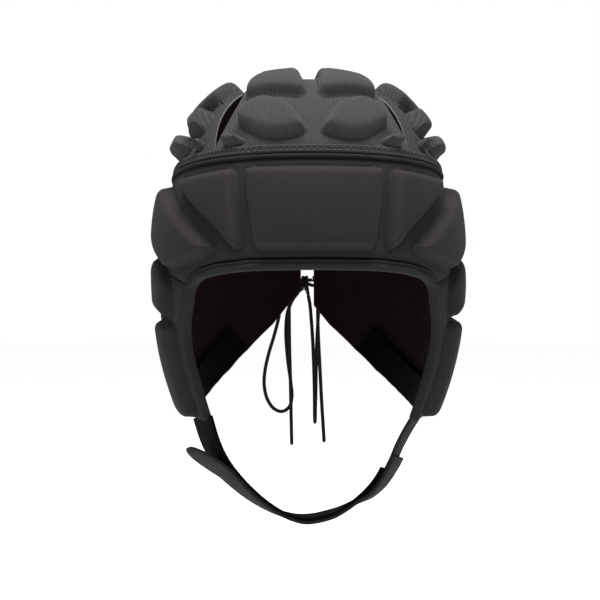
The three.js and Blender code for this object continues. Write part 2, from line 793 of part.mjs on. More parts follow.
function crownCentre() {
  const patch = (u, v) => {
    const side = u < 0.5 ? -1 : 1;
    const share = Math.abs(2 * u - 1);
    const edge = (angle) => seamHalf(angle) - ventHalf(angle, side);
    let angle = lerp(frontRingAngle, rearRingAngle, v);
    for (let i = 0; i < 4; i++) {
      const x = share * edge(angle);
      angle = lerp(ringAngle(x), ringAngleRear(x), v);
    }
    return overHead(side * share * edge(angle), angle);
  };
  const pads = [];
  for (const side of [-1, 1])
    for (const { height, rearward, corners } of crownCentrePads) {
      const placed = corners.map(([share, turn]) => {
        const angle = rearward ? 180 - turn : turn;
        return overHead(side * share * seamHalf(angle), angle);
      });
      pads.push(padSolid(placed, height, overDome));
    }
  return joined(patchWall(patch, 10, crownStations, 0, wall), pads);
}

function crownSide(side) {
  const half = (angle) => seamHalf(angle) + ventHalf(angle, side);
  const firstAzimuth = azimuthOf(overHead(crownSeamHalfRing + seamGap, frontRingAngle)) + 1;
  const lastAzimuth = azimuthOf(overHead(crownSeamHalfRing + seamGap, rearRingAngle)) - 1;
  const toCentre = new THREE.Vector3(0, 0, crownHeight);
  const patch = (u, v) => {
    const angle = lerp(frontRingAngle, rearRingAngle, THREE.MathUtils.clamp(u, 0.025, 0.975));
    const top = overHead(half(angle), angle).add(toCentre).normalize();
    const azimuth = lerp(firstAzimuth, lastAzimuth, u);
    const foot = onBand(azimuth, ringHeight(azimuth) + seamGap / 2).add(toCentre).normalize();
    const p = v === 1 ? foot : top.lerp(foot, v).normalize();
    p.x *= side;
    return onDome(p);
  };
  const pads = [crownTopSidePad, ...crownSidePads].map((pad) =>
    padSolid(
      pad.corners.map(([azimuth, elevation]) => domeAt(side * azimuth, elevation)),
      pad.height,
      overDome,
    ),
  );
  for (const pad of crownSidePads)
    pads.push(
      padSolid(
        pad.corners.map(([azimuth, elevation]) => domeAt(side * (180 - azimuth), elevation)),
        pad.height,
        overDome,
      ),
    );
  return joined(patchWall(patch, crownStations, 4, 0, wall), pads);
}

// The tape and the piping over the crown's seam

function crownTape() {
  const steps = 40;
  const low = pipingDiameter / 2 + layGap;
  const rings = [];
  for (let i = 0; i < steps; i++) {
    const azimuth = (360 * i) / steps;
    const foot = onBand(azimuth, ringHeight(azimuth) + low);
    const head = onBand(azimuth, ringHeight(azimuth) + low + tapeWidth);
    rings.push([
      lift(foot, wall + layGap),
      lift(foot, wall + layGap + tapeThickness),
      lift(head, wall + layGap + tapeThickness),
      lift(head, wall + layGap),
    ]);
  }
  return ringSweep(rings, true);
}

function crownPiping() {
  const steps = 40;
  const sides = 6;
  const radius = pipingDiameter / 2;
  const rings = [];
  for (let i = 0; i < steps; i++) {
    const azimuth = (360 * i) / steps;
    const p = onBand(azimuth, ringHeight(azimuth));
    const out = normalAt(p);
    const along = new THREE.Vector3(Math.cos(degrees(azimuth)), Math.sin(degrees(azimuth)), 0);
    const up = along.clone().cross(out).normalize();
    const centre = p.clone().addScaledVector(out, wall + layGap + radius);
    rings.push(
      Array.from({ length: sides }, (_, k) => {
        const turn = ((k + 0.5) / sides) * 2 * Math.PI;
        return centre
          .clone()
          .addScaledVector(out, radius * Math.cos(turn))
          .addScaledVector(up, radius * Math.sin(turn));
      }),
    );
  }
  return ringSweep(rings, true);
}

// The binding round the face opening, from cheek to cheek

function faceBinding() {
  const steps = 26;
  const cut = 0.9;
  const edge = faceLine(0, steps);
  const whole = [
    ...edge.slice(1).reverse().map((p) => p.clone().setX(-p.x)),
    ...edge,
  ];
  const depth = wall / 2 - bindingInset + (bindingThickness - wall) / 2;
  const rings = whole.map((p, i) => {
    const before = whole[Math.max(0, i - 1)];
    const after = whole[Math.min(whole.length - 1, i + 1)];
    const out = normalAt(p);
    const along = after.clone().sub(before).normalize();
    const aside = out.clone().cross(along).normalize();
    const centre = p
      .clone()
      .addScaledVector(aside, bindingWidth / 2)
      .addScaledVector(out, depth);
    const moved = bandGround(centre);
    const lifted = lift(moved, depth);
    return flatSection(lifted, aside, normalAt(moved), bindingWidth, bindingThickness, cut);
  });
  return joined(ringSweep(rings, false), [], [slabBelow(-cheekDrop)]);
}

// The black bands sewn inside the cheeks along the lower edge

function strapRoot(side) {
  const steps = 16;
  const first = azimuthOf(panelLine[panelLine.length - 1]) + 1;
  const foot = Array.from({ length: steps + 1 }, (_, i) => {
    const azimuth = lerp(first, rootLastAzimuth, i / steps);
    return onBand(azimuth, archHeight(azimuth) + rootEdgeRise);
  });
  const patch = (u, v) => {
    const i = Math.round(u * steps);
    const along = foot[Math.min(steps, i + 1)].clone().sub(foot[Math.max(0, i - 1)]).normalize();
    const aside = along.cross(normalAt(foot[i])).normalize();
    if (aside.z < 0) aside.negate();
    const p = bandGround(foot[i].clone().addScaledVector(aside, rootWidth * v));
    return p.setX(side * p.x);
  };
  return patchWall(patch, steps, 2, -rootStandOff - rootThickness, -rootStandOff);
}

// The chin strap

const cheekFoot = onBand(strapCentre, -cheekDrop);
const chinCurve = new THREE.CatmullRomCurve3(
  chinLine.map(
    (row) =>
      new THREE.Vector3(
        row.across * (cheekFoot.x + wall / 2),
        cheekFoot.y,
        -lerp(cheekDrop - strapTuck, chinDrop, row.down),
      ),
  ),
  false,
  "centripetal",
);

const strapStations = 28; // the layers share their cross sections, so that they stay parallel

// One layer of the strap: shares along the chin line, and how far out it lies.
function strapLayer({ from, to, width, thickness, standOff, tipped }) {
  const stations = [from];
  const firstStation = Math.ceil(from * strapStations + 0.3);
  for (let k = firstStation; k < to * strapStations - 0.3; k++) stations.push(k / strapStations);
  stations.push(to);
  const rings = [];
  for (const share of stations) {
    const p = chinCurve.getPointAt(share);
    const along = chinCurve.getTangentAt(share);
    const out = new THREE.Vector3(along.z, 0, -along.x);
    const across = p.x / (cheekFoot.x + wall / 2);
    const tilt = degrees(readTable(chinLine, "across", across, "tilt"));
    const aside = new THREE.Vector3(0, Math.cos(tilt), 0).addScaledVector(out, Math.sin(tilt));
    const face = out.clone().multiplyScalar(Math.cos(tilt));
    face.y -= Math.sin(tilt);
    const centre = p.clone().addScaledVector(out, standOff(share));
    const left = Math.min(1, Math.abs(share - tipped) / 0.055);
    const narrow = Number.isFinite(tipped) ? Math.sqrt(1 - (1 - left) ** 2) : 1;
    const local = Math.max(width * narrow, width * 0.35);
    rings.push(flatSection(centre, aside, face, local, thickness, thickness * 0.25));
  }
  return joined(ringSweep(rings, false), [], [slabAbove(-cheekDrop - layGap)]);
}

const strapLayGap = layGap + 0.15; // the twist brings the flat facets closer
const strapStep = (strapThickness + strapOuterThickness) / 2 + strapLayGap;
const tabEnd = 0.665;
const strapOuterEnd = 0.85;
const tongueRoot = 0.21;
const tongueTip = 0.082;
const tongueLift = 9.5;

function outerStandOff(share) {
  const overTab = THREE.MathUtils.smoothstep(share, tabEnd - 0.09, tabEnd - 0.01);
  const lifted = THREE.MathUtils.clamp((tongueRoot - share) / (tongueRoot - tongueTip), 0, 1);
  return strapStep + overTab * (strapThickness + layGap) + tongueLift * lifted ** 1.5;
}

// The lacing

function wallFace(x, z) {
  const p = onBand(180, z);
  const azimuth = 180 - THREE.MathUtils.radToDeg(Math.atan2(x, p.y));
  return onBand(azimuth, z);
}

function laceLoop(side, row) {
  const z = -laceTopDrop - row * laceRowPitch;
  const edge = laceGapCentre + (side * laceGapWidth) / 2;
  const p = wallFace(edge + (side * loopLength) / 2, z);
  const out = normalAt(p).setZ(0).normalize();
  const aside = new THREE.Vector3(0, 0, 1).cross(out);
  const high = loopEye + 2 * loopThickness;
  const shape = new THREE.Shape();
  const half = loopLength / 2;
  const bulge = high / 2;
  const toward = -Math.sign(aside.x) * side;
  shape.moveTo(-half * toward, 0);
  shape.lineTo((half - bulge) * toward, 0);
  shape.absarc((half - bulge) * toward, bulge, bulge, -Math.PI / 2, Math.PI / 2, toward < 0);
  shape.lineTo(-half * toward, loopThickness * 2);
  const eye = new THREE.Path();
  eye.absellipse((half - bulge) * toward, bulge, loopEye / 2, loopEye / 2, 0, 2 * Math.PI);
  shape.holes.push(eye);
  const geometry = new THREE.ExtrudeGeometry(shape, {
    depth: loopWidth,
    bevelEnabled: false,
    curveSegments: 4,
  });
  const seat = lift(p, wall + loopStandOff);
  const frame = new THREE.Matrix4().makeBasis(aside, out, new THREE.Vector3(0, 0, -1));
  if (frame.determinant() < 0)
    frame.makeBasis(aside, out, new THREE.Vector3(0, 0, 1));
  const rise = frame.elements[10] * loopWidth;
  frame.setPosition(seat.clone().setZ(z - rise / 2));
  return geometry.applyMatrix4(frame);
}

function eyePoint(side, row, up) {
  const z = -laceTopDrop - row * laceRowPitch;
  const edge = laceGapCentre + (side * laceGapWidth) / 2;
  const p = wallFace(edge + (side * (loopEye + 2 * loopThickness)) / 2, z);
  const seat = wallFace(edge + (side * loopLength) / 2, z);
  const out = normalAt(seat).setZ(0).normalize();
  const rise = wall + loopStandOff + loopThickness + loopEye / 2;
  return p.addScaledVector(out, rise).setZ(z + up);
}

// A round lace along a route, in steps of about the given length.
function tube(points, stepLength) {
  const route = new THREE.CatmullRomCurve3(points, false, "centripetal");
  const shape = new THREE.Shape().absarc(0, 0, laceDiameter / 2, 0, 2 * Math.PI);
  return new THREE.ExtrudeGeometry(shape, {
    extrudePath: route,
    steps: Math.round(route.getLength() / stepLength),
    curveSegments: 3,
  });
}

// A strand runs down through one side's eye, crosses the gap and goes on in the next row.
function crossStrand(first, overlap) {
  const points = [];
  const inEye = loopWidth / 2 + 0.6;
  let side = first;
  for (let row = 0; row < laceRows; row++) {
    points.push(eyePoint(side, row, inEye), eyePoint(side, row, 0), eyePoint(side, row, -inEye));
    if (row < laceRows - 1) {
      const a = eyePoint(side, row, -laceRowPitch / 2);
      const b = eyePoint(-side, row, -laceRowPitch / 2);
      const middle = a.add(b).multiplyScalar(0.5);
      points.push(middle.add(new THREE.Vector3(0, overlap, 0)));
    } else points.push(knotEntry(side));
    side = -side;
  }
  return tube(points, 5);
}

const knot = wallFace(laceGapCentre, -knotDrop).add(
  new THREE.Vector3(-1.1, wall + knotStandOff, 0),
);

// Where a strand ends, just clear of the knot's upper side.
function knotEntry(side) {
  const direction = new THREE.Vector3(side * 0.8, -0.2, 0.56).normalize();
  const surface = direction.clone().multiply(new THREE.Vector3(...knotHalf));
  return knot.clone().add(surface).addScaledVector(direction, loopStandOff);
}

function knotGeometry() {
  const ball = new THREE.SphereGeometry(1, 12, 8);
  ball.scale(...knotHalf);
  ball.translate(knot.x, knot.y, knot.z);
  ball.deleteAttribute("normal");
  ball.deleteAttribute("uv");
  return mergeVertices(ball, 1e-3);
}

// Assembly

addPiece("brow_panel", browPanel(), shellCloth);
for (const [name, side] of [["right", -1], ["left", 1]]) {
  addPiece(`side_panel_${name}`, sidePanel(side), shellCloth);
  addPiece(`rear_panel_${name}`, rearPanel(side), shellCloth);
  addPiece(`crown_side_panel_${name}`, crownSide(side), crownCloth);
  addPiece(`strap_root_${name}`, strapRoot(side), hookCloth);
  for (let row = 0; row < laceRows; row++)
    addPiece(`lace_loop_${name}_${row + 1}`, laceLoop(side, row), tapeCloth);
}
addPiece("crown_centre_panel", crownCentre(), crownCloth);
addPiece("crown_tape", crownTape(), tapeCloth);
addPiece("crown_piping", crownPiping(), tapeCloth);
addPiece("face_binding", faceBinding(), bindingCloth);
addPiece(
  "strap_inner",
  strapLayer({
    from: 0, to: 0.8, width: strapWidth, thickness: strapThickness, standOff: () => 0, tipped: NaN,
  }),
  hookCloth,
);
addPiece(
  "strap_tab",
  strapLayer({
    from: tabEnd, to: 1, width: tabWidth, thickness: strapThickness,
    standOff: (share) =>
      (strapThickness + layGap) * (1 - THREE.MathUtils.smoothstep(share, 0.84, 1)),
    tipped: NaN,
  }),
  strapCloth,
);
addPiece(
  "strap_outer",
  strapLayer({
    from: tongueTip, to: strapOuterEnd, width: strapWidth, thickness: strapOuterThickness,
    standOff: outerStandOff, tipped: tongueTip,
  }),
  strapCloth,
);
addPiece("lace_cross_right", crossStrand(-1, 2.6), laceCloth);
addPiece("lace_cross_left", crossStrand(1, 0), laceCloth);
addPiece("lace_knot", knotGeometry(), laceCloth);
for (const [name, route] of Object.entries(laceRoutes)) {
  const points = route.map((p) => new THREE.Vector3(...p).add(knot));
  addPiece(name, tube(points, 6), laceCloth);
}

export default cap;
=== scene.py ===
"""A rugby scrum cap: padded foam panels, laced behind, with a strap under the chin.

It is laid out as an add-on and run as a script. Each operator makes one piece
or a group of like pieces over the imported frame. The form of the head, the
panels, the pads and the lace follow the same tables as the part's solids, in
millimetres, and turn into metres when a mesh is made. Sewn edges and the
strap's layers press into each other here, where the solids leave gaps.
"""

import math

import bmesh
import bpy
import numpy as np
from mathutils import Matrix, Vector


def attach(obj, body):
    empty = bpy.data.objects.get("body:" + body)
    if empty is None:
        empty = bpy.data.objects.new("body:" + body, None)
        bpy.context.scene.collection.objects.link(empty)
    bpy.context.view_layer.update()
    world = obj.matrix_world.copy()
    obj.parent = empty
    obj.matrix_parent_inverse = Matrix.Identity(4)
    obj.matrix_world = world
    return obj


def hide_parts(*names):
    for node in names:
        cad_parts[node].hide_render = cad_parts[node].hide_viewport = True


bl_info = {
    "name": "Rugby scrum cap",
    "version": (1, 0, 0),
    "blender": (4, 5, 0),
    "location": "3D View > Sidebar > Scrum cap",
    "description": "Builds a padded scrum cap with its lacing and chin strap",
    "category": "Add Mesh",
}

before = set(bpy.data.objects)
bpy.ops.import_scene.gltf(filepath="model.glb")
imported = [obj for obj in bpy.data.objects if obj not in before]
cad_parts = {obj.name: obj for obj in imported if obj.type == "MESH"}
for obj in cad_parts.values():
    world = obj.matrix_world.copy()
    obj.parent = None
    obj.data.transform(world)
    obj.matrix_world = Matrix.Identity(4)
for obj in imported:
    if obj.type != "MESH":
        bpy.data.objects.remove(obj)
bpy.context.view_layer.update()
mm = 0.001

# The head's form, in millimetres as the part has it

HEAD_HALF_WIDTH = 71
HEAD_FRONT_DEPTH = 88
HEAD_REAR_DEPTH = 92
CROWN_HEIGHT = 99
JAW_HALF_WIDTH = 56
JAW_DEPTH = 73
DOME_POWER = 2.5
PLAN_POWER = 2.2
RING_DROP = 48.5
RING_TILT = 6.5
FACE_DROP = 95
ARCH_DROP = 103
CHEEK_DROP = 168
CHIN_DROP = 217.2
SEAM_GAP = -0.2  # the sewn edges sink into each other
EAR_LAND = 0.1  # leaves a narrow flat face round the ear opening
EDGE_MERGE = 0.00001  # points of a panel's edges are joined below this, in metres
CUT_MERGE = 0.00004  # slivers left by a cut are closed below this, in metres
LAY_GAP = 0.35  # between the tape and what it lies on
BINDING_GAP = 0.7
BINDING_INSET = 0.9
BINDING_FLANGE = 2.4  # the part of the binding under the panels' edges
CROWN_SEAM_HALF_TOP = 30
CROWN_SEAM_HALF_RING = 48
CROWN_SEAM_POWER = 1.3
VENT_WIDTH = {-1: 8, 1: 4.5}  # by side: -1 is the wearer's right
VENT_ANGLES = (49, 83)  # over the head, from the front
REAR_VENT_ANGLES = (46, 69)  # the same from the rear
VENT_OPEN_HALF = 0.4  # a vent wider than twice this shows its cut edge, in a paler colour that is a painted highlight
EAR_HALF_LENGTH = 15
EAR_HALF_HEIGHT = 19
EAR_DROP = 108
EAR_REARWARD = 7
SIDE_REAR_SEAM = 128
BROW_TIP = 112
PAD_CORNER_RADIUS = 5
STRAP_CENTRE = 60
STRAP_TUCK = 2
STRAP_ROOT_END = 159
STRAP_ROOT_RISE = 0.8  # from the lower edge
STRAP_ROOT_STAND_OFF = 0.6  # inside the wall
STRAP_ROOT_THICKNESS = 1.4
ROOT_ROUND = 0.5  # how far in from its edge a root is rounded
LACE_GAP_CENTRE = 3.6
LACE_GAP_WIDTH = 7
LACE_ROWS = 3
LACE_TOP_DROP = 62
LACE_ROW_PITCH = 14.5
LOOP_WIDTH = 5
LOOP_THICKNESS = 1.1
LOOP_LENGTH = 8.5
LOOP_EYE = 3.8
LOOP_STAND_OFF = 0.7  # from the wall, which curves under the loop
KNOT_DROP = 99.6
KNOT_STAND_OFF = 7.5
KNOT_HALF = np.array([5.2, 3.6, 4.4])
KNOT_SHIFT = -1.1

SIDES = (("right", -1), ("left", 1))

# Rough sizes of the panels, for the density of their grids
BROW_HEIGHT = 50
BAND_HEIGHT = 85
SIDE_LENGTH = 112
NAPE_LENGTH = 78
CROWN_WIDTH = 84
CROWN_LENGTH = 205
CROWN_SIDE_LENGTH = 165
CROWN_SIDE_HEIGHT = 46

# Radii and stretches that flatten the panels' cloth into millimetres
SIDE_MAP_RADIUS = 75
NAPE_MAP_RADIUS = 85
CROWN_MAP_STRETCH = 1.08
CROWN_SIDE_MAP_RADIUS = 62
CROWN_SIDE_MAP_HEIGHT = 100

# Tables. Azimuths are in degrees from the front.

# azimuth, drop share from the face opening's top to the foot of the cheeks
FACE_EDGE = [
    (0, 0), (10, 0.002), (20, 0.007), (32.5, 0.033), (40, 0.068), (43.6, 0.118),
    (45.5, 0.205), (48, 0.315), (50, 0.438), (50.5, 0.575), (49.6, 0.753), (50, 1),
]

# azimuth, drop as a share of the face opening's drop
BROW_SEAM = [
    (50, 1.056), (62, 1.021), (75, 0.958), (85, 0.874), (95, 0.779), (105, 0.664), (112, 0.549),
]

# azimuth, drop share from the arch's top to the cheeks
ARCH_EDGE = [
    (50, 1), (72, 1), (90, 0.985), (100, 0.974), (110, 0.954), (120, 0.92), (130, 0.869),
    (140, 0.789), (150, 0.677), (160, 0.508), (170, 0.3), (176, 0.124), (180, 0),
]

# across, down, tilt: the chin line from the wearer's right cheek to the left one.
# On the left the tilts are up to 5 degrees more than the solids'.
CHIN_LINE = [
    (-1, 0, 20), (-0.912, 0.284, 19), (-0.811, 0.476, 17), (-0.648, 0.665, 13),
    (-0.442, 0.84, 8.5), (-0.238, 0.955, 4.5), (-0.044, 1, 1), (0.19, 0.955, 1.5),
    (0.337, 0.885, 5), (0.509, 0.765, 9.5), (0.629, 0.642, 13), (0.737, 0.46, 15),
    (0.802, 0.315, 15.5), (0.868, 0.2, 16), (1, 0, 16),
]

# Pads. Corners on the band are an azimuth and a share of the way down the panel,
# on the crown's centre a share of its half width and an angle over the head,
# and on its sides an azimuth and an elevation.
BROW_PAD = [(-23.6, 0.09), (23.6, 0.09), (18.2, 0.93), (-18.2, 0.93)]
BROW_SIDE_PAD = [(26.2, 0.09), (57.5, 0.1), (53.5, 0.22), (31.8, 0.67), (26, 0.88), (21.4, 0.92)]
TEMPLE_PAD = [
    (31, 0.86), (36.5, 0.93), (57, 0.94), (86.5, 0.955), (101, 0.74), (98, 0.2), (74, 0.13),
    (51.8, 0.39), (34, 0.79),
]
SIDE_PADS = [
    [(59.5, 0.05), (84, 0.02), (84, 0.1), (79, 0.325), (60, 0.3)],
    [(59.5, 0.335), (79, 0.358), (84, 0.62), (84, 0.95), (70, 0.985), (57.5, 0.97)],
    [(89, 0.7), (105, 0.66), (106, 0.92), (89, 0.95)],
    [(112, 0.1), (125, 0.1), (125, 0.4), (112, 0.4)],
    [(110.5, 0.5), (125, 0.47), (125, 0.9), (110.5, 0.9)],
]
REAR_PADS = [
    [(132, 0.1), (164, 0.12), (164, 0.48), (132, 0.38)],
    [(131.5, 0.48), (147, 0.54), (147, 0.9), (131.5, 0.92)],
    [(151, 0.56), (164.5, 0.6), (164.5, 0.86), (151, 0.9)],
]
CROWN_LOWER_PAD = [
    (0.04, 43.2), (0.3, 41.6), (0.5, 43.5), (0.79, 52.4), (0.75, 58), (0.5, 59), (0.18, 52.5),
]
CROWN_SMALL_PAD = [(0.9, 47.5), (0.84, 51), (0.61, 43.8), (0.78, 44.2)]
CROWN_FRONT_TOP_PAD = [
    (0.05, 60), (0.14, 57.5), (0.5, 61.8), (0.78, 64), (0.82, 71), (0.74, 76.5), (0.1, 76.5),
]
CROWN_REAR_TOP_PAD = [
    (0.05, 60), (0.14, 57.5), (0.5, 61.8), (0.78, 64), (0.84, 81), (0.8, 90), (0.1, 90),
]
# setting of the height, whether the angles are from the rear, corners
CROWN_CENTRE_PADS = [
    ("crown_front_pad", False, CROWN_LOWER_PAD),
    ("crown_pad", True, CROWN_LOWER_PAD),
    ("crown_front_pad", False, CROWN_FRONT_TOP_PAD),
    ("crown_pad", True, CROWN_REAR_TOP_PAD),
    ("small_pad", False, CROWN_SMALL_PAD),
    ("small_pad", True, CROWN_SMALL_PAD),
]
CROWN_SIDE_PADS = [
    [(51.6, 48.8), (57.5, 55.8), (65, 58.4), (74.5, 57), (79.5, 52.8), (61, 47.6)],
    [(58, 44.3), (66, 47.8), (84, 51.6), (88.6, 51.8), (88.6, 43.2), (66, 42.6)],
]
CROWN_SIDE_SMALL_PAD = [(46.5, 43.6), (51, 46), (55.5, 43.6), (50, 42)]
CROWN_TOP_SIDE_PAD = [
    (65, 61), (67, 68), (78, 71), (102, 71), (113, 68), (115, 61), (103, 59),
    (97, 54.5), (83, 54.5), (77, 59),
]

# Routes of the loose lace, from the middle of the knot, in millimetres
LACE_ROUTES = {
    "lace_end_right": [
        (-5.4, 0.5, -1.5), (-7.2, 0.9, -3.4), (-8.3, 1.1, -7), (-8.6, 1.2, -13), (-8.6, 1.2, -22),
        (-8.5, 1.1, -32), (-8.3, 1, -42), (-8, 0.9, -52), (-7.8, 0.8, -62), (-7.6, 0.7, -72),
        (-7.4, 0.6, -82), (-7.2, 0.5, -91),
    ],
    "lace_end_left": [
        (5.4, 0.6, -1.5), (6.8, 1.2, -3.4), (7.3, 1.4, -7), (7.4, 1.4, -14), (7.6, 1.3, -24),
        (8, 1.2, -34), (8.5, 1.1, -44), (9, 1, -54), (9.5, 0.9, -64), (10.1, 0.8, -74),
        (10.6, 0.7, -82), (11, 0.6, -89.6),
    ],
    "lace_bow_right": [
        (-4.6, 2.6, 2), (-8, 3.8, 1.4), (-11.2, 4.2, -2.6), (-13, 4.2, -10), (-14.6, 4.2, -20),
        (-17.2, 4.2, -30), (-20.2, 4.2, -40), (-22.3, 4.2, -50), (-22.6, 4.2, -58),
        (-20.8, 4.3, -65.5), (-17, 4.4, -70.8), (-12.4, 4.5, -72.3), (-8.4, 4.5, -69.6),
        (-7, 4.5, -64), (-7.6, 4.4, -56), (-9, 4.3, -46), (-10, 4.2, -36), (-10.4, 4.1, -26),
        (-9.4, 4, -16), (-6.4, 3.9, -9), (-3.2, 3.6, -4.9),
    ],
    "lace_bow_left": [
        (4.6, 2.8, 2), (7.4, 4.2, 0.6), (8.6, 5, -5), (8.2, 5.2, -14), (7.6, 5.1, -24),
        (7.1, 4.9, -34), (6.8, 4.7, -44), (6.6, 4.4, -54), (6.4, 4, -64), (6.2, 3.8, -71),
        (6.2, 5, -76.4), (6.2, 9, -78.6), (6.2, 12.4, -75.6), (6.2, 13.2, -70), (6.1, 13, -60),
        (5.8, 12.4, -50), (5.4, 11.6, -40), (4.9, 10.6, -30), (4.2, 9.4, -21), (3.4, 7.6, -12.6),
        (2.2, 5.2, -6.2),
    ],
}


# Settings


def length_setting(name, description, millimetres):
    return bpy.props.FloatProperty(
        name=name, description=description, default=millimetres * mm, min=0.0, unit="LENGTH"
    )


def colour_setting(name, description, colour):
    return bpy.props.FloatVectorProperty(
        name=name, description=description, default=colour, size=3, min=0, max=1, subtype="COLOR"
    )


class CapSizes(bpy.types.PropertyGroup):
    wall: length_setting("Wall", "Thickness of the panels between the pads", 3)
    brow_pad: length_setting("Brow pads", "How far the brow pads stand proud", 5)
    temple_pad: length_setting("Temple pads", "How far the temple pads stand proud", 6.5)
    side_pad: length_setting("Side pads", "How far the cheek and ear pads stand proud", 6)
    rear_pad: length_setting("Nape pads", "How far the nape pads stand proud", 5.5)
    crown_pad: length_setting("Crown pads", "How far the crown pads stand proud", 7.5)
    crown_front_pad: length_setting(
        "Front crown pads", "How far the pads on the front of the crown stand proud", 6.3
    )
    small_pad: length_setting("Small pads", "How far the crown's small pads stand proud", 5)
    shoulder: length_setting("Pad shoulder", "How far in from its foot a pad is flat", 5.8)
    grid: length_setting("Grid", "Distance between the points of a panel's skin", 0.8)
    rib_pitch: length_setting("Rib pitch", "Distance between the crown cloth's ribs", 0.95)
    stitch: length_setting("Stitch", "Length of one stitch", 2.2)
    thread: length_setting("Thread", "Diameter of the sewing thread", 0.5)
    tape_width: length_setting("Tape width", "Width of the tape over the crown's seam", 4.2)
    tape_thickness: length_setting("Tape thickness", "Thickness of that tape", 1)
    piping: length_setting("Piping", "Diameter of the piping below the tape", 2)
    binding_width: length_setting("Binding width", "Width of the binding round the face", 5.3)
    binding_thickness: length_setting("Binding thickness", "Thickness of that binding", 5.2)
    strap_width: length_setting("Strap width", "Width of the chin strap", 28)
    strap_thickness: length_setting("Strap thickness", "Thickness of a strap layer", 1.5)
    tab_width: length_setting("Tab width", "Width of the tab that the strap closes on", 20)
    root_width: length_setting("Root width", "Width of the black bands in the cheeks", 16)
    lace: length_setting("Lace", "Diameter of the lace", 2)


class CapColours(bpy.types.PropertyGroup):
    shell: colour_setting("Shell", "Cloth of the band", (0.0165, 0.0145, 0.0155))
    crown: colour_setting("Crown", "Ribbed cloth of the crown", (0.03, 0.029, 0.031))
    crown_side: colour_setting(
        "Crown sides", "Mesh cloth of the crown's sides", (0.027, 0.026, 0.028)
    )
    tape: colour_setting("Tape", "Tape and webbing loops", (0.027, 0.028, 0.03))
    binding: colour_setting("Binding", "Binding and piping", (0.015, 0.015, 0.0165))
    strap: colour_setting("Strap", "Outer cloth of the strap", (0.013, 0.0125, 0.0135))
    hook: colour_setting(
        "Hook cloth", "Inside of the strap and its roots", (0.0006, 0.0006, 0.0006)
    )
    lace: colour_setting("Lace", "Braided lace", (0.01, 0.01, 0.011))
    lining: colour_setting("Lining", "Inside of the panels", (0.0085, 0.0035, 0.0065))
    thread: colour_setting("Thread", "Sewing thread", (0.022, 0.022, 0.024))


# The form of the head, for arrays of points in millimetres


def lerp(a, b, share):
    return a + (b - a) * share


def unit(v):
    return v / np.linalg.norm(v, axis=-1, keepdims=True)


def depth_at(z, rear):
    full = np.where(rear, HEAD_REAR_DEPTH, HEAD_FRONT_DEPTH)
    share = np.clip((-CROWN_HEIGHT - z) / (CHEEK_DROP - CROWN_HEIGHT), 0, None)
    return full - (full - JAW_DEPTH) * share**2


def half_width_at(z):
    share = np.clip((-CROWN_HEIGHT - z) / (CHEEK_DROP - CROWN_HEIGHT), 0, None)
    return HEAD_HALF_WIDTH - (HEAD_HALF_WIDTH - JAW_HALF_WIDTH) * share**2


def plan_power_sum(x, y, z):
    across = np.abs(x / half_width_at(z)) ** PLAN_POWER
    return across + np.abs(y / depth_at(z, y > 0)) ** PLAN_POWER


def level(p):
    """1 on the form, less inside it."""
    x, y, z = np.moveaxis(p, -1, 0)
    rise = np.clip((z + CROWN_HEIGHT) / CROWN_HEIGHT, 0, None)
    return plan_power_sum(x, y, z) ** (DOME_POWER / PLAN_POWER) + rise**DOME_POWER


def normal_at(p):
    steps = 0.05 * np.eye(3)
    return unit(np.stack([level(p + step) - level(p - step) for step in steps], -1))


def on_band(azimuth, z):
    """The points of the form at azimuths in degrees and heights."""
    azimuth, z = np.broadcast_arrays(np.asarray(azimuth, float), np.asarray(z, float))
    sin = np.sin(np.radians(azimuth))
    cos = np.cos(np.radians(azimuth))
    rise = np.clip((z + CROWN_HEIGHT) / CROWN_HEIGHT, 0, 1)
    plan = plan_power_sum(sin, -cos, z)
    radius = (1 - rise**DOME_POWER) ** (1 / DOME_POWER) * plan ** (-1 / PLAN_POWER)
    return np.stack([radius * sin, -radius * cos, z], -1)


def on_dome(direction):
    """The points of the dome in directions from the middle of its widest level."""
    x, y, z = np.moveaxis(direction, -1, 0)
    plan = plan_power_sum(x, y, np.zeros_like(z))
    rise = np.abs(z / CROWN_HEIGHT) ** DOME_POWER
    reach = (plan ** (DOME_POWER / PLAN_POWER) + rise) ** (-1 / DOME_POWER)
    return direction * reach[..., None] - np.array([0, 0, CROWN_HEIGHT])


def dome_at(azimuth, elevation):
    azimuth, elevation = np.radians(azimuth), np.radians(elevation)
    flat = np.cos(elevation)
    return on_dome(
        np.stack([flat * np.sin(azimuth), -flat * np.cos(azimuth), np.sin(elevation)], -1)
    )


def over_head(x, angle):
    """The points at distances from the middle plane and angles over the head."""
    x, angle = np.broadcast_arrays(np.asarray(x, float), np.radians(angle))
    near = np.ones_like(x)
    far = np.full_like(x, HEAD_FRONT_DEPTH + CROWN_HEIGHT)

    def point(reach):
        return np.stack([x, -reach * np.cos(angle), reach * np.sin(angle) - CROWN_HEIGHT], -1)

    for _ in range(30):
        middle = (near + far) / 2
        inside = level(point(middle)) < 1
        near = np.where(inside, middle, near)
        far = np.where(inside, far, middle)
    return point(near)


def lift(p, distance):
    return p + normal_at(p) * np.asarray(distance, float)[..., None]


def azimuth_of(p):
    return np.degrees(np.arctan2(np.abs(p[..., 0]), -p[..., 1]))


def read_table(table, value, column=1):
    rows = np.array(table, float)
    return np.interp(value, rows[:, 0], rows[:, column])


def ring_height(azimuth):
    return RING_TILT * np.cos(np.radians(azimuth)) - RING_DROP


def arch_height(azimuth):
    return -lerp(ARCH_DROP, CHEEK_DROP, read_table(ARCH_EDGE, np.abs(azimuth)))


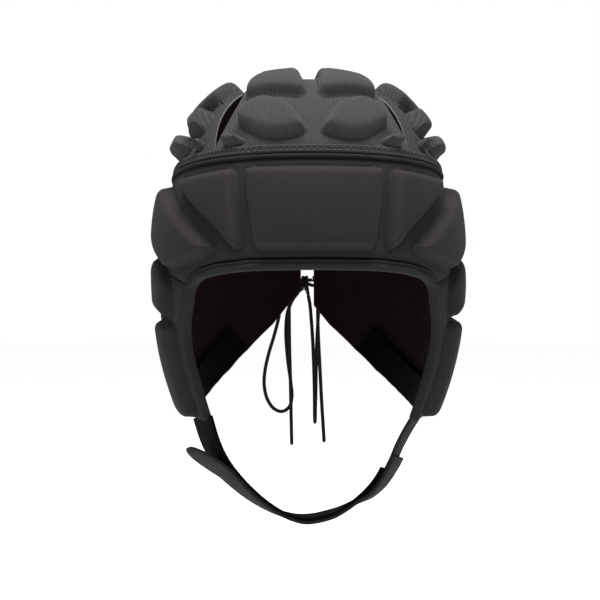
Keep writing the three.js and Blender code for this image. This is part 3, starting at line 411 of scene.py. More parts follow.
def curve_through(points, steps):
    """Points of a centripetal curve through the given ones, steps to the whole of it."""
    points = np.asarray(points, float)
    first, last = 2 * points[:1] - points[1:2], 2 * points[-1:] - points[-2:-1]
    knots = np.concatenate([first, points, last])
    share = np.linspace(0, 1, steps + 1) * (len(points) - 1)
    span = np.minimum(share.astype(int), len(points) - 2)
    t = (share - span)[:, None]
    p0, p1, p2, p3 = (knots[span + k] for k in range(4))
    d0, d1, d2 = (
        np.sqrt(np.linalg.norm(b - a, axis=-1, keepdims=True))
        for a, b in ((p0, p1), (p1, p2), (p2, p3))
    )
    m1 = ((p1 - p0) / d0 - (p2 - p0) / (d0 + d1) + (p2 - p1) / d1) * d1
    m2 = ((p2 - p1) / d1 - (p3 - p1) / (d1 + d2) + (p3 - p2) / d2) * d1
    square = -3 * p1 + 3 * p2 - 2 * m1 - m2
    cube = 2 * p1 - 2 * p2 + m1 + m2
    return p1 + m1 * t + square * t**2 + cube * t**3


def evenly(points, count):
    """The same line as count points at even distances."""
    points = np.asarray(points, float)
    gone = np.concatenate([[0], np.cumsum(np.linalg.norm(np.diff(points, axis=0), axis=1))])
    at = np.linspace(0, gone[-1], count)
    return np.stack([np.interp(at, gone, points[:, k]) for k in range(points.shape[1])], -1)


def at_places(line, place):
    """The points of a line at indices that may lie between two of them."""
    return np.stack([np.interp(place, np.arange(len(line)), line[:, k]) for k in range(3)], -1)


def line_length(points):
    return float(np.linalg.norm(np.diff(points, axis=0), axis=1).sum())


def tangents(points, hoop=False):
    if hoop:
        return unit(np.roll(points, -1, 0) - np.roll(points, 1, 0))
    return unit(np.gradient(points, axis=0))


# The face opening's edge and the seams


def face_line(distance, steps):
    """The edge on the wearer's left, moved sideways away from the opening."""
    edge = [(azimuth, -lerp(FACE_DROP, CHEEK_DROP, drop)) for azimuth, drop in FACE_EDGE]
    curve = curve_through(edge, steps)
    points = on_band(curve[:, 0], curve[:, 1])
    before = np.concatenate([points[1:2] * [-1, 1, 1], points[:-1]])
    after = np.concatenate([points[1:], points[-1:]])
    aside = unit(np.cross(unit(after - before), normal_at(points)))
    moved = points - distance * aside
    return on_band(azimuth_of(moved), moved[:, 2])


def panel_edge(sizes):
    """The panels' line along the binding, and the index of its corner with the seam."""
    line = face_line(sizes.binding_width / mm + BINDING_GAP, 120)
    corner = int(np.argmax(line[:, 2] < -FACE_DROP * BROW_SEAM[0][1]))
    return line, corner


def seam_height(azimuth, line, corner):
    rows = [(a, -FACE_DROP * drop) for a, drop in BROW_SEAM]
    rows[0] = (azimuth_of(line[corner]), line[corner][2])
    return read_table(rows, azimuth)


def brow_bottom(azimuth, line, corner):
    top = line[: corner + 1]
    over_face = np.interp(azimuth, azimuth_of(top), top[:, 2])
    seam = seam_height(azimuth, line, corner) + SEAM_GAP / 2
    return np.where(azimuth < azimuth_of(line[corner]), over_face, seam)


def side_top(azimuth, line, corner):
    seam = seam_height(azimuth, line, corner)
    return np.where(azimuth <= BROW_TIP + 1e-6, seam, ring_height(azimuth)) - SEAM_GAP / 2


# Meshes


class Skin:
    """The points and faces of one piece, gathered part by part, in millimetres."""

    def __init__(self):
        self.points, self.faces, self.corners, self.slots = [], [], [], []
        self.masks = {"relief": [], "rim": []}
        self.count = 0

    def add(self, points, faces, corners, slot=0, **masks):
        """corners holds a (u, v) in millimetres for each corner of each face."""
        points = np.asarray(points, float).reshape(-1, 3)
        slots = np.broadcast_to(slot, len(faces))
        self.points.append(points)
        self.faces += [[int(i) + self.count for i in face] for face in faces]
        self.corners.append(np.asarray(corners, float).reshape(-1, 2))
        self.slots.append(slots)
        for name, values in self.masks.items():
            values.append(np.broadcast_to(masks.get(name, 0.0), len(points)))
        self.count += len(points)

    def make(self, name, materials):
        mesh = bpy.data.meshes.new(name)
        mesh.from_pydata((np.concatenate(self.points) * mm).tolist(), [], self.faces)
        layer = mesh.uv_layers.new(name="surface")
        layer.data.foreach_set("uv", np.concatenate(self.corners).ravel())
        mesh.polygons.foreach_set("material_index", np.concatenate(self.slots).astype(np.int32))
        for mask, values in self.masks.items():
            attribute = mesh.attributes.new(mask, "FLOAT", "POINT")
            attribute.data.foreach_set("value", np.concatenate(values))
        for material in materials:
            mesh.materials.append(material)
        mesh.polygons.foreach_set("use_smooth", np.ones(len(mesh.polygons), bool))
        mesh.update()
        piece = bpy.data.objects.new(name, mesh)
        bpy.context.scene.collection.objects.link(piece)
        return piece


def grid_faces(rows, columns):
    j, i = np.mgrid[: rows - 1, : columns - 1]
    a = (j * columns + i).ravel()
    return np.stack([a, a + 1, a + columns + 1, a + columns], -1)


def border_loop(rows, columns):
    """The indices round a grid's border, in the order that its faces turn."""
    top = [(0, i) for i in range(columns)]
    right = [(j, columns - 1) for j in range(1, rows)]
    bottom = [(rows - 1, i) for i in range(columns - 2, -1, -1)]
    left = [(j, 0) for j in range(rows - 2, 0, -1)]
    return np.array([j * columns + i for j, i in top + right + bottom + left])


def closed_wall(skin, outer, inner, flat, slots, **masks):
    """A wall between two grids of points, with its border closed."""
    rows, columns = outer.shape[:2]
    middle = (rows // 2, columns // 2)
    a, b, c = outer[middle], outer[middle[0], middle[1] + 1], outer[middle[0] + 1, middle[1]]
    outward = np.dot(np.cross(b - a, c - a), a - inner[middle]) > 0
    count = rows * columns
    faces = grid_faces(rows, columns)
    loop = border_loop(rows, columns)
    after = np.roll(loop, -1)
    rim = np.stack([after, loop, loop + count, after + count], -1)
    every = np.concatenate([faces, (faces + count)[:, ::-1], rim])
    if not outward:
        every = every[:, ::-1]
    places = np.concatenate([flat.reshape(-1, 2)] * 2)
    slot = np.repeat(slots, [len(faces), len(faces), len(rim)])
    points = np.concatenate([outer.reshape(-1, 3), inner.reshape(-1, 3)])
    spread = {k: np.concatenate([v.ravel(), np.zeros(count)]) for k, v in masks.items()}
    skin.add(points, every, places[every], slot, **spread)


def sweep(skin, centres, aside, out, section, hoop=False, slot=0):
    """A section carried along a route. section is (k, 2), or one for each point of the route."""
    section = np.broadcast_to(section, (len(centres), *np.shape(section)[-2:]))
    points = (
        centres[:, None]
        + section[..., :1] * aside[:, None]
        + section[..., 1:] * out[:, None]
    )
    count, sides = points.shape[:2]
    spans = count if hoop else count - 1
    i, k = (a.ravel() for a in np.mgrid[:spans, :sides])
    here, there = i * sides, ((i + 1) % count) * sides
    beside = (k + 1) % sides
    faces = np.stack([here + k, here + beside, there + beside, there + k], -1)
    steps = np.linalg.norm(np.diff(centres, axis=0, append=centres[:1]), axis=1)
    gone = np.concatenate([[0], np.cumsum(steps)])
    middle = section[count // 2]
    sideways = np.linalg.norm(np.diff(middle, axis=0, append=middle[:1]), axis=1)
    around = np.concatenate([[0], np.cumsum(sideways)])
    corners = np.stack(
        [
            np.stack([around[k], gone[i]], -1),
            np.stack([around[k + 1], gone[i]], -1),
            np.stack([around[k + 1], gone[i + 1]], -1),
            np.stack([around[k], gone[i + 1]], -1),
        ],
        1,
    )
    faces, corners = faces.tolist(), corners.reshape(-1, 2)
    if not hoop:
        last = (count - 1) * sides
        faces += [list(range(sides))[::-1], list(range(last, last + sides))]
        ends = np.concatenate([section[0][::-1], section[-1]])
        corners = np.concatenate([corners, ends])
    turned = np.cross(points[0, 1] - points[0, 0], points[0, 2] - points[0, 0])
    if np.dot(turned, centres[1] - centres[0]) > 0:
        cut = np.cumsum([len(face) for face in faces])[:-1]
        faces = [face[::-1] for face in faces]
        corners = np.concatenate([corner[::-1] for corner in np.split(corners, cut)])
    skin.add(points, faces, corners, slot)


def circle(radius, sides):
    turn = np.arange(sides) / sides * 2 * math.pi
    return np.stack([radius * np.cos(turn), radius * np.sin(turn)], -1)


def tube(skin, points, radius, sides=14, slot=0, hoop=False):
    """A round cord along a line, its ends drawn in to a small dome."""
    along = tangents(points, hoop)
    aside = np.zeros_like(points)
    aside[0] = unit(np.cross(along[0], [0, 1, 0.3]))
    for i in range(1, len(points)):
        kept = aside[i - 1] - along[i] * np.dot(aside[i - 1], along[i])
        aside[i] = unit(kept)
    out = np.cross(along, aside)
    width = np.ones(len(points))
    if hoop:
        twist = math.atan2(np.dot(aside[-1], out[0]), np.dot(aside[-1], aside[0]))
        turn = -twist * np.arange(len(points)) / len(points)
        cos, sin = np.cos(turn)[:, None], np.sin(turn)[:, None]
        aside, out = aside * cos + out * sin, out * cos - aside * sin
    else:
        shares = [(1.0, 0.35), (0.75, 0.66), (0.45, 0.87), (0.2, 0.97)]
        for end, sign in ((0, 1), (-1, -1)):
            cap = [points[end] + sign * along[end] * radius * (1 - reach) for reach, _ in shares]
            cap = np.array(cap if sign > 0 else cap[::-1])
            narrow = np.array([share for _, share in shares][::sign])
            rest = slice(1, None) if sign > 0 else slice(None, -1)
            order = (cap, points[rest]) if sign > 0 else (points[rest], cap)
            points = np.concatenate(order)
            sizes = (narrow, width[rest]) if sign > 0 else (width[rest], narrow)
            width = np.concatenate(sizes)
            repeat = [len(shares)] + [1] * (len(aside) - 1)
            repeat = repeat if sign > 0 else repeat[::-1]
            aside, out = np.repeat(aside, repeat, 0), np.repeat(out, repeat, 0)
    section = circle(radius, sides)[None] * width[:, None, None]
    sweep(skin, points, aside, out, section, hoop, slot)


STITCH_SIDES = 6
STITCH_GAP = 0.3  # between stitches, as a share of one
STITCH_SINK = 0.25  # how deep the row lies, as a share of the thread's radius
# Share of the length, then rise and width as shares of the radius
ROW_STITCH = (
    (0.0, -1.0, 0.5), (0.14, 0.0, 0.9), (0.5, 0.35, 1.0), (0.86, 0.0, 0.9), (1.0, -1.0, 0.5)
)
ZIGZAG_STITCH = ((0.04, -0.6, 0.6), (0.25, 0.15, 1), (0.75, 0.15, 1), (0.96, -0.6, 0.6))


def stitch_faces(rings, step):
    """The faces and the map of a stitch made of rings, closed at both ends."""
    faces, corners = [], []
    for i in range(rings - 1):
        here, there = i * STITCH_SIDES, (i + 1) * STITCH_SIDES
        for k in range(STITCH_SIDES):
            n = (k + 1) % STITCH_SIDES
            left, right = k * step, (k + 1) * step
            faces.append([here + k, there + k, there + n, here + n])
            corners += [(left, i), (left, i + 1), (right, i + 1), (right, i)]
    last = (rings - 1) * STITCH_SIDES
    faces += [list(range(STITCH_SIDES)), list(range(last + STITCH_SIDES - 1, last - 1, -1))]
    corners += [(0, 0)] * STITCH_SIDES * 2
    return faces, corners


def stitches(skin, points, normals, sizes, slot):
    """A row of separate stitches along a line, each bedded in the cloth at its ends."""
    pitch = sizes.stitch / mm
    radius = sizes.thread / mm / 2
    count = max(2, round(line_length(points) / pitch))
    line = evenly(np.concatenate([points, normals], 1), count * 4 + 1)
    centres, out = line[:, :3], unit(line[:, 3:])
    ring = circle(1, STITCH_SIDES)
    faces, corners = stitch_faces(len(ROW_STITCH), 1)
    for index in range(count):
        a, b = centres[index * 4], centres[index * 4 + 4]
        up = out[index * 4 + 2]
        along = unit(b - a)
        aside = np.cross(up, along)
        a, b = lerp(a, b, STITCH_GAP / 2), lerp(a, b, 1 - STITCH_GAP / 2)
        rings = []
        for share, rise, width in ROW_STITCH:
            centre = lerp(a, b, share) + up * radius * (rise - STITCH_SINK)
            rings.append(centre + radius * width * (ring[:, :1] * aside + ring[:, 1:] * up))
        skin.add(np.concatenate(rings), faces, corners, slot)


# Pads


def rounded_outline(corners):
    """A closed outline with its corners turned into arcs."""
    points = []
    for i, corner in enumerate(corners):
        before, after = corners[i - 1], corners[(i + 1) % len(corners)]
        lengths = np.linalg.norm(before - corner), np.linalg.norm(after - corner)
        reach = min(PAD_CORNER_RADIUS, 0.42 * lengths[0], 0.42 * lengths[1])
        a = corner + (before - corner) / lengths[0] * reach
        b = corner + (after - corner) / lengths[1] * reach
        for t in np.linspace(0, 1, 7):
            points.append((1 - t) ** 2 * a + 2 * t * (1 - t) * corner + t**2 * b)
    return np.array(points)


def inside_distance(q, outline):
    """How far points lie inside an outline, and the way inwards at each."""
    a, b = outline, np.roll(outline, -1, 0)
    edge = b - a
    to = q[:, None] - a
    share = np.clip((to * edge).sum(-1) / (edge**2).sum(-1), 0, 1)
    off = to - share[..., None] * edge
    distance = np.linalg.norm(off, axis=-1)
    nearest = distance.argmin(1)
    rows = np.arange(len(q))
    d = distance[rows, nearest]
    crosses = (a[:, 1] > q[:, None, 1]) != (b[:, 1] > q[:, None, 1])
    rise = np.where(edge[:, 1] == 0, 1e-9, edge[:, 1])
    at = a[:, 0] + edge[:, 0] * (q[:, None, 1] - a[:, 1]) / rise
    inside = (crosses & (q[:, None, 0] < at)).sum(1) % 2 == 1
    sign = np.where(inside, 1, -1)
    return sign * d, off[rows, nearest] / np.maximum(d, 1e-9)[:, None] * sign[:, None]


def band_axis(p):
    """Where the ray starts that carries a point onto the band."""
    return p * [0, 0, 1]


def dome_axis(p):
    return np.zeros_like(p) - [0, 0, CROWN_HEIGHT]


def band_ground(p):
    return on_band(np.degrees(np.arctan2(p[..., 0], -p[..., 1])), p[..., 2])


def dome_ground(p):
    return on_dome(unit(p + [0, 0, CROWN_HEIGHT]))


WALL_FOOT = 1.7  # how far in from its foot a pad's steep wall ends
WALL_SHARE = 0.42  # how high that wall is, as a share of the pad
FOOT_REACH = 2.2  # the cloth dips beside the foot as far as this
FOOT_DIP = 0.5
SWELL = 0.5  # how much higher a pad's middle is
SWELL_REACH = 14
SHOULDER_SHARE = 0.24  # at most, of a pad's size
SNAP_SHARE = 0.55  # of the grid: points this close to a pad's foot move onto it


def pad_height(d, height, shoulder):
    """The height of a pad's surface by the distance inside its foot."""
    wall = WALL_SHARE * height * np.sin(np.clip(d / WALL_FOOT, 0, 1) * math.pi / 2)
    turn = np.clip((d - WALL_FOOT) / (shoulder - WALL_FOOT), 0, 1)
    top = (1 - WALL_SHARE) * height * np.sqrt(1 - (1 - turn) ** 2)
    swell = SWELL * (1 - (1 - np.clip(d / SWELL_REACH, 0, 1)) ** 2)
    dip = -FOOT_DIP * np.clip(1 + d / FOOT_REACH, 0, 1) ** 2
    foot = FOOT_DIP * (1 - np.clip(d / WALL_FOOT, 0, 1))
    return np.where(d > 0, wall + top + swell - foot, dip)


def raise_pad(base, relief, rim, corners, height, on_crown, sizes):
    """Moves a panel's points onto the pad's edges and adds its height and masks."""
    axis, ground = (dome_axis, dome_ground) if on_crown else (band_axis, band_ground)
    centre = ground(corners.mean(0))
    out = normal_at(centre)
    right = unit(np.cross([0, 0, 1], out))
    up = np.cross(out, right)

    def flatten(p):
        start = axis(p)
        ray = p - start
        reach = ((centre - start) @ out) / np.maximum(ray @ out, 1e-6)
        spot = start + ray * reach[..., None] - centre
        return np.stack([spot @ right, spot @ up], -1)

    outline = rounded_outline(flatten(corners))
    size = math.sqrt(abs(polygon_area(outline)))
    shoulder = min(sizes.shoulder / mm, SHOULDER_SHARE * size)
    reach = np.linalg.norm(outline, axis=1).max() + FOOT_REACH + 2
    shape = base.shape[:2]
    flat_base = base.reshape(-1, 3)
    near = np.linalg.norm(flat_base - centre, axis=1) < 1.25 * reach
    near &= normal_at(flat_base) @ out > 0.2
    inner = near.reshape(shape).copy()
    inner[[0, -1]] = False
    inner[:, [0, -1]] = False
    rows = np.flatnonzero(inner.ravel())
    q = flatten(flat_base[rows])
    d, inwards = inside_distance(q, outline)
    snap = SNAP_SHARE * sizes.grid / mm
    moving = np.abs(d) < snap
    q = q - np.where(moving, d, 0)[:, None] * inwards
    d = np.where(moving, 0.0, d)
    moved = ground(centre + q[:, :1] * right + q[:, 1:] * up)
    flat_base[rows[moving]] = moved[moving]
    h = pad_height(d, height, shoulder)
    flat_relief = relief.reshape(-1)
    flat_rim = rim.reshape(-1)
    flat_relief[rows] = np.where(np.abs(h) > np.abs(flat_relief[rows]), h, flat_relief[rows])
    # Painted highlight: a band along the pad's shoulder, kept in the rim mask
    edge = np.exp(-(((d - 0.45 * shoulder) / (0.35 * shoulder)) ** 2)) * (d > 0)
    flat_rim[rows] = np.maximum(flat_rim[rows], edge)


def polygon_area(points):
    x, y = points.T
    return 0.5 * float(np.sum(x * np.roll(y, -1) - np.roll(x, -1) * y))


def edge_distance(base):
    """How far each point of a grid is from the nearest border, along its row or column."""
    across = np.linalg.norm(np.diff(base, axis=1), axis=-1)
    down = np.linalg.norm(np.diff(base, axis=0), axis=-1)
    u = np.pad(np.cumsum(across, 1), ((0, 0), (1, 0)))
    v = np.pad(np.cumsum(down, 0), ((1, 0), (0, 0)))
    return np.minimum(np.minimum(u, u[:, -1:] - u), np.minimum(v, v[-1:] - v))


def crowded(length, spacing):
    """Shares along a length, closer together at both ends."""
    ends = np.array([0, 0.25, 0.6, 1.1]) / length
    count = max(2, round((length - 2.2) / spacing))
    middle = np.linspace(ends[-1], 1 - ends[-1], count + 1)[1:-1]
    return np.concatenate([ends, middle, 1 - ends[::-1]])


EDGE_ROUND = 1.1
SEAM_PULL = 0.7  # the seams pull the outer face in by this much
SEAM_REACH = 2.2


def padded_panel(name, base, flat, pads, on_crown, sizes, materials, hole=None, lip=None):
    """One panel: a rounded wall over a grid of the form, with its pads raised."""
    wall = sizes.wall / mm
    base = base.copy()
    relief = np.zeros(base.shape[:2])
    # rim: where the cloth's colour is made paler, a painted highlight along the pads' shoulders
    rim = np.zeros(base.shape[:2])
    from_edge = edge_distance(base)
    for corners, height in pads:
        raise_pad(base, relief, rim, corners, height, on_crown, sizes)
    if hole is not None:
        from_edge = np.minimum(from_edge, hole(base))
    turn = np.clip(from_edge / EDGE_ROUND, 0, 1)
    drop = EDGE_ROUND * (1 - np.sqrt(1 - (1 - turn) ** 2))
    pull = SEAM_PULL * np.exp(-((from_edge / SEAM_REACH) ** 2))
    outer = lift(base, wall - drop - pull + relief)
    inner = lift(base, drop)
    skin = Skin()
    height = max(height for _, height in pads)
    closed_wall(
        skin, outer, inner, flat, [0, 1, 0], relief=np.clip(relief / height, 0, 1), rim=rim
    )
    # lip: rim faces that take the third cloth, a painted highlight along a vent's edge
    if lip is not None:
        slots = np.array(skin.slots[0])
        first_rim = 2 * (base.shape[0] - 1) * len(lip)
        for start in (0, first_rim):
            slots[start : start + len(lip)][lip] = 2
        skin.slots[0] = slots
    piece = skin.make(name, materials)
    select_only(piece)
    merge_points(EDGE_MERGE)
    return piece


def select_only(piece):
    bpy.ops.object.select_all(action="DESELECT")
    piece.select_set(True)
    bpy.context.view_layer.objects.active = piece


def merge_points(distance, slivers=False):
    """Joins the active piece's points that lie closer than a distance in metres."""
    bpy.ops.object.mode_set(mode="EDIT")
    bpy.ops.mesh.select_all(action="SELECT")
    bpy.ops.mesh.remove_doubles(threshold=distance)
    if slivers:
        bpy.ops.mesh.dissolve_degenerate(threshold=distance)
    bpy.ops.mesh.select_all(action="DESELECT")
    bpy.ops.object.mode_set(mode="OBJECT")


def stand_for(piece, *nodes, slot):
    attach(piece, "root")
    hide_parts(*nodes)


# Materials


def set_input(tree, socket, value):
    if isinstance(value, bpy.types.NodeSocket):
        tree.links.new(value, socket)
    elif socket.type == "RGBA" and len(value) == 3:
        socket.default_value = (*value, 1)
    else:
        socket.default_value = value


def add_node(tree, kind, inputs=None, **settings):
    node = tree.nodes.new(kind)
    for key, value in settings.items():
        setattr(node, key, value)
    for key, value in (inputs or {}).items():
        set_input(tree, node.inputs[key], value)
    return node


def maths(tree, operation, a, b=0.0):
    return add_node(tree, "ShaderNodeMath", {0: a, 1: b}, operation=operation).outputs[0]


def new_group(name, inputs, outputs):
    """A shader node group with its named sockets, and its two end nodes."""
    tree = bpy.data.node_groups.new(name, "ShaderNodeTree")
    for label, kind, default in inputs:
        socket = tree.interface.new_socket(label, in_out="INPUT", socket_type=kind)
        if default is not None:
            socket.default_value = default
    for label, kind in outputs:
        tree.interface.new_socket(label, in_out="OUTPUT", socket_type=kind)
    return tree, tree.nodes.new("NodeGroupInput"), tree.nodes.new("NodeGroupOutput")


def knit_group():
    """Rows of small knitted loops on a flat map in millimetres."""
    tree, given, result = new_group(
        "Knit",
        [("Map", "NodeSocketVector", None), ("Pitch", "NodeSocketFloat", 0.8)],
        [("Height", "NodeSocketFloat")],
    )
    split = add_node(tree, "ShaderNodeSeparateXYZ", {0: given.outputs["Map"]})
    turn = maths(tree, "DIVIDE", 2 * math.pi, given.outputs["Pitch"])
    u = maths(tree, "MULTIPLY", split.outputs["X"], turn)
    v = maths(tree, "MULTIPLY", split.outputs["Y"], turn)
    wave = maths(tree, "MULTIPLY", maths(tree, "SINE", v), 0.9)
    loops = maths(tree, "SINE", maths(tree, "ADD", u, wave))
    rows = maths(tree, "COSINE", v)
    both = maths(
        tree, "ADD", maths(tree, "MULTIPLY", loops, 0.32), maths(tree, "MULTIPLY", rows, 0.18)
    )
    set_input(tree, result.inputs["Height"], maths(tree, "ADD", both, 0.5))
    return tree


def rib_group():
    """Fine ribs that run along the second direction of a flat map in millimetres."""
    tree, given, result = new_group(
        "Ribs",
        [
            ("Map", "NodeSocketVector", None),
            ("Pitch", "NodeSocketFloat", 1.1),
            ("Waver", "NodeSocketFloat", 0.25),
        ],
        [("Height", "NodeSocketFloat")],
    )
    drift = add_node(
        tree, "ShaderNodeTexNoise", {"Vector": given.outputs["Map"], "Scale": 0.12, "Detail": 2.0}
    )
    shift = maths(tree, "MULTIPLY", drift.outputs["Fac"], given.outputs["Waver"])
    split = add_node(tree, "ShaderNodeSeparateXYZ", {0: given.outputs["Map"]})
    across = maths(tree, "DIVIDE", split.outputs["X"], given.outputs["Pitch"])
    turn = maths(tree, "MULTIPLY", maths(tree, "ADD", across, shift), math.pi)
    ridge = maths(tree, "ABSOLUTE", maths(tree, "SINE", turn))
    set_input(tree, result.inputs["Height"], maths(tree, "POWER", ridge, 0.7))
    return tree


def eyelet_group():
    """Staggered small holes, as in spacer mesh, on a flat map in millimetres."""
    tree, given, result = new_group(
        "Eyelets",
        [("Map", "NodeSocketVector", None), ("Pitch", "NodeSocketFloat", 1.5)],
        [("Height", "NodeSocketFloat")],
    )
    split = add_node(tree, "ShaderNodeSeparateXYZ", {0: given.outputs["Map"]})
    turn = maths(tree, "DIVIDE", math.pi, given.outputs["Pitch"])
    u = maths(tree, "MULTIPLY", split.outputs["X"], turn)
    v = maths(tree, "MULTIPLY", split.outputs["Y"], turn)
    plus = maths(tree, "SINE", maths(tree, "ADD", u, v))
    minus = maths(tree, "SINE", maths(tree, "SUBTRACT", u, v))
    hole = maths(tree, "ABSOLUTE", maths(tree, "MULTIPLY", plus, minus))
    rounded = maths(tree, "SMOOTH_MIN", maths(tree, "MULTIPLY", hole, 1.9), 1.0)
    set_input(tree, result.inputs["Height"], maths(tree, "SUBTRACT", 1.0, rounded))
    return tree


def cloth_tone_group():
    """A cloth's colour with slow fading, fine lint, painted shade and highlight by the weave, and a
    painted highlight on the pads' rims.
    """
    tree, given, result = new_group(
        "Cloth tone",
        [
            ("Place", "NodeSocketVector", None),
            ("Colour", "NodeSocketColor", (0.03, 0.03, 0.03, 1)),
            ("Thread Height", "NodeSocketFloat", 0.5),
            ("Rim Highlight", "NodeSocketFloat", 0.0),
            ("Unevenness", "NodeSocketFloat", 0.25),
            ("Lint", "NodeSocketFloat", 0.35),
        ],
        [("Colour", "NodeSocketColor"), ("Roughness", "NodeSocketFloat")],
    )
    slow = add_node(
        tree, "ShaderNodeTexNoise", {"Vector": given.outputs["Place"], "Scale": 28.0, "Detail": 3.0}
    )
    fine = add_node(
        tree, "ShaderNodeTexNoise",
        {"Vector": given.outputs["Place"], "Scale": 900.0, "Detail": 2.0},
    )
    speck = add_node(
        tree, "ShaderNodeTexNoise",
        {"Vector": given.outputs["Place"], "Scale": 2600.0, "Detail": 1.0},
    )
    fade = maths(tree, "MULTIPLY", maths(tree, "SUBTRACT", slow.outputs["Fac"], 0.5), 1.2)
    grain = maths(tree, "MULTIPLY", maths(tree, "SUBTRACT", fine.outputs["Fac"], 0.5), 0.9)
    uneven = maths(tree, "MULTIPLY", maths(tree, "ADD", fade, grain), given.outputs["Unevenness"])
    # Painted shade and highlight: the colour darkens in the weave's valleys and pales on the
    # threads' tops
    depth = maths(tree, "SUBTRACT", given.outputs["Thread Height"], 0.5)
    weave_shade = maths(tree, "MULTIPLY", depth, 0.55)
    # Painted highlight: the rim mask makes the colour paler along the pads' shoulders
    rim_highlight_tone = maths(tree, "MULTIPLY", given.outputs["Rim Highlight"], 0.16)
    total = maths(tree, "ADD", maths(tree, "ADD", uneven, weave_shade), maths(tree, "ADD", rim_highlight_tone, 1.0))
    lint = maths(tree, "GREATER_THAN", speck.outputs["Fac"], 0.7)
    lint = maths(tree, "MULTIPLY", lint, given.outputs["Lint"])
    total = maths(tree, "ADD", total, lint)
    tone = add_node(
        tree,
        "ShaderNodeVectorMath",
        {0: given.outputs["Colour"], "Scale": total},
        operation="SCALE",
    )
    set_input(tree, result.inputs["Colour"], tone.outputs[0])
    rough = maths(tree, "ADD", maths(tree, "MULTIPLY", slow.outputs["Fac"], 0.18), 0.76)
    set_input(tree, result.inputs["Roughness"], rough)
    return tree


def cloth(name, colour, weave, pitch, depth, sheen, unevenness=0.25, lint=0.3, waver=None):
    """A cloth material: a weave by the piece's own map, a tone by its place, and a bump."""
    material = bpy.data.materials.new(name)
    material.use_nodes = True
    tree = material.node_tree
    shader = tree.nodes["Principled BSDF"]
    coordinates = add_node(tree, "ShaderNodeTexCoord")
    # The rim mask carries the painted highlight along the pads' shoulders
    rim_highlight = add_node(tree, "ShaderNodeAttribute", attribute_name="rim")
    inputs = {"Map": coordinates.outputs["UV"], "Pitch": pitch}
    if waver is not None:
        inputs["Waver"] = waver
    pattern = add_node(tree, "ShaderNodeGroup", node_tree=bpy.data.node_groups[weave])
    for key, value in inputs.items():
        set_input(tree, pattern.inputs[key], value)
    tone = add_node(tree, "ShaderNodeGroup", node_tree=bpy.data.node_groups["Cloth tone"])
    given = {
        "Place": coordinates.outputs["Object"],
        "Colour": tuple(colour),
        "Thread Height": pattern.outputs["Height"],
        "Rim Highlight": rim_highlight.outputs["Fac"],
        "Unevenness": unevenness,
        "Lint": lint,
    }
    for key, value in given.items():
        set_input(tree, tone.inputs[key], value)
    bump = add_node(
        tree,
        "ShaderNodeBump",
        {"Strength": 0.9, "Distance": depth * mm, "Height": pattern.outputs["Height"]},
    )
    tree.links.new(tone.outputs["Colour"], shader.inputs["Base Color"])
    tree.links.new(tone.outputs["Roughness"], shader.inputs["Roughness"])
    tree.links.new(bump.outputs["Normal"], shader.inputs["Normal"])
    shader.inputs["Specular IOR Level"].default_value = 0.05
    shader.inputs["Sheen Weight"].default_value = sheen
    shader.inputs["Sheen Roughness"].default_value = 0.5
    return material


class Materials:
    """The cap's cloths, made once and shared by its pieces."""

    made = {}

    @classmethod
    def get(cls, name):
        if name not in cls.made:
            raise RuntimeError("make the cloths first")
        return cls.made[name]


class SCRUMCAP_OT_cloths(bpy.types.Operator):
    """Make the node groups and the cloth of each kind"""

    bl_idname = "scrumcap.cloths"
    bl_label = "Cloths"

    def execute(self, context):
        colours = context.scene.scrum_cap_colours
        sizes = context.scene.scrum_cap_sizes
        for make in (knit_group, rib_group, eyelet_group, cloth_tone_group):
            make()
        rib = sizes.rib_pitch / mm
        Materials.made = {
            "shell": cloth("shell_knit", colours.shell, "Knit", 0.5, 0.06, 0.012, 0.1, 0.08),
            "crown": cloth("crown_rib", colours.crown, "Ribs", rib, 0.3, 0.02, 0.2, 0.2, 0.5),
            "crown_side": cloth(
                "crown_mesh", colours.crown_side, "Eyelets", 1.3, 0.14, 0.02, 0.2, 0.2
            ),
            # A paler cloth for the vents' cut edges: a painted highlight along them
            "edge": cloth("vent_edge_highlight", (0.075, 0.075, 0.075), "Knit", 0.7, 0.1, 0.02),
            "tape": cloth("tape_weave", colours.tape, "Ribs", 0.9, 0.3, 0.02, 0.3, 0.3, 0.4),
            "binding": cloth("binding_knit", colours.binding, "Knit", 0.6, 0.12, 0.012, 0.15, 0.1),
            "strap": cloth("strap_knit", colours.strap, "Knit", 0.8, 0.15, 0.012, 0.2, 0.2),
            "hook": cloth("loop_pile", colours.hook, "Eyelets", 0.7, 0.3, 0.0, 0.6, 0.6),
            "lace": cloth("lace_braid", colours.lace, "Eyelets", 1.1, 0.22, 0.01, 0.25, 0.3),
            "lining": cloth("lining_knit", colours.lining, "Knit", 0.9, 0.15, 0.0, 0.3, 0.2),
            "thread": cloth("thread_twist", colours.thread, "Ribs", 0.4, 0.06, 0.01, 0.2, 0.1, 0.0),
        }
        return {"FINISHED"}


# Panels of the band


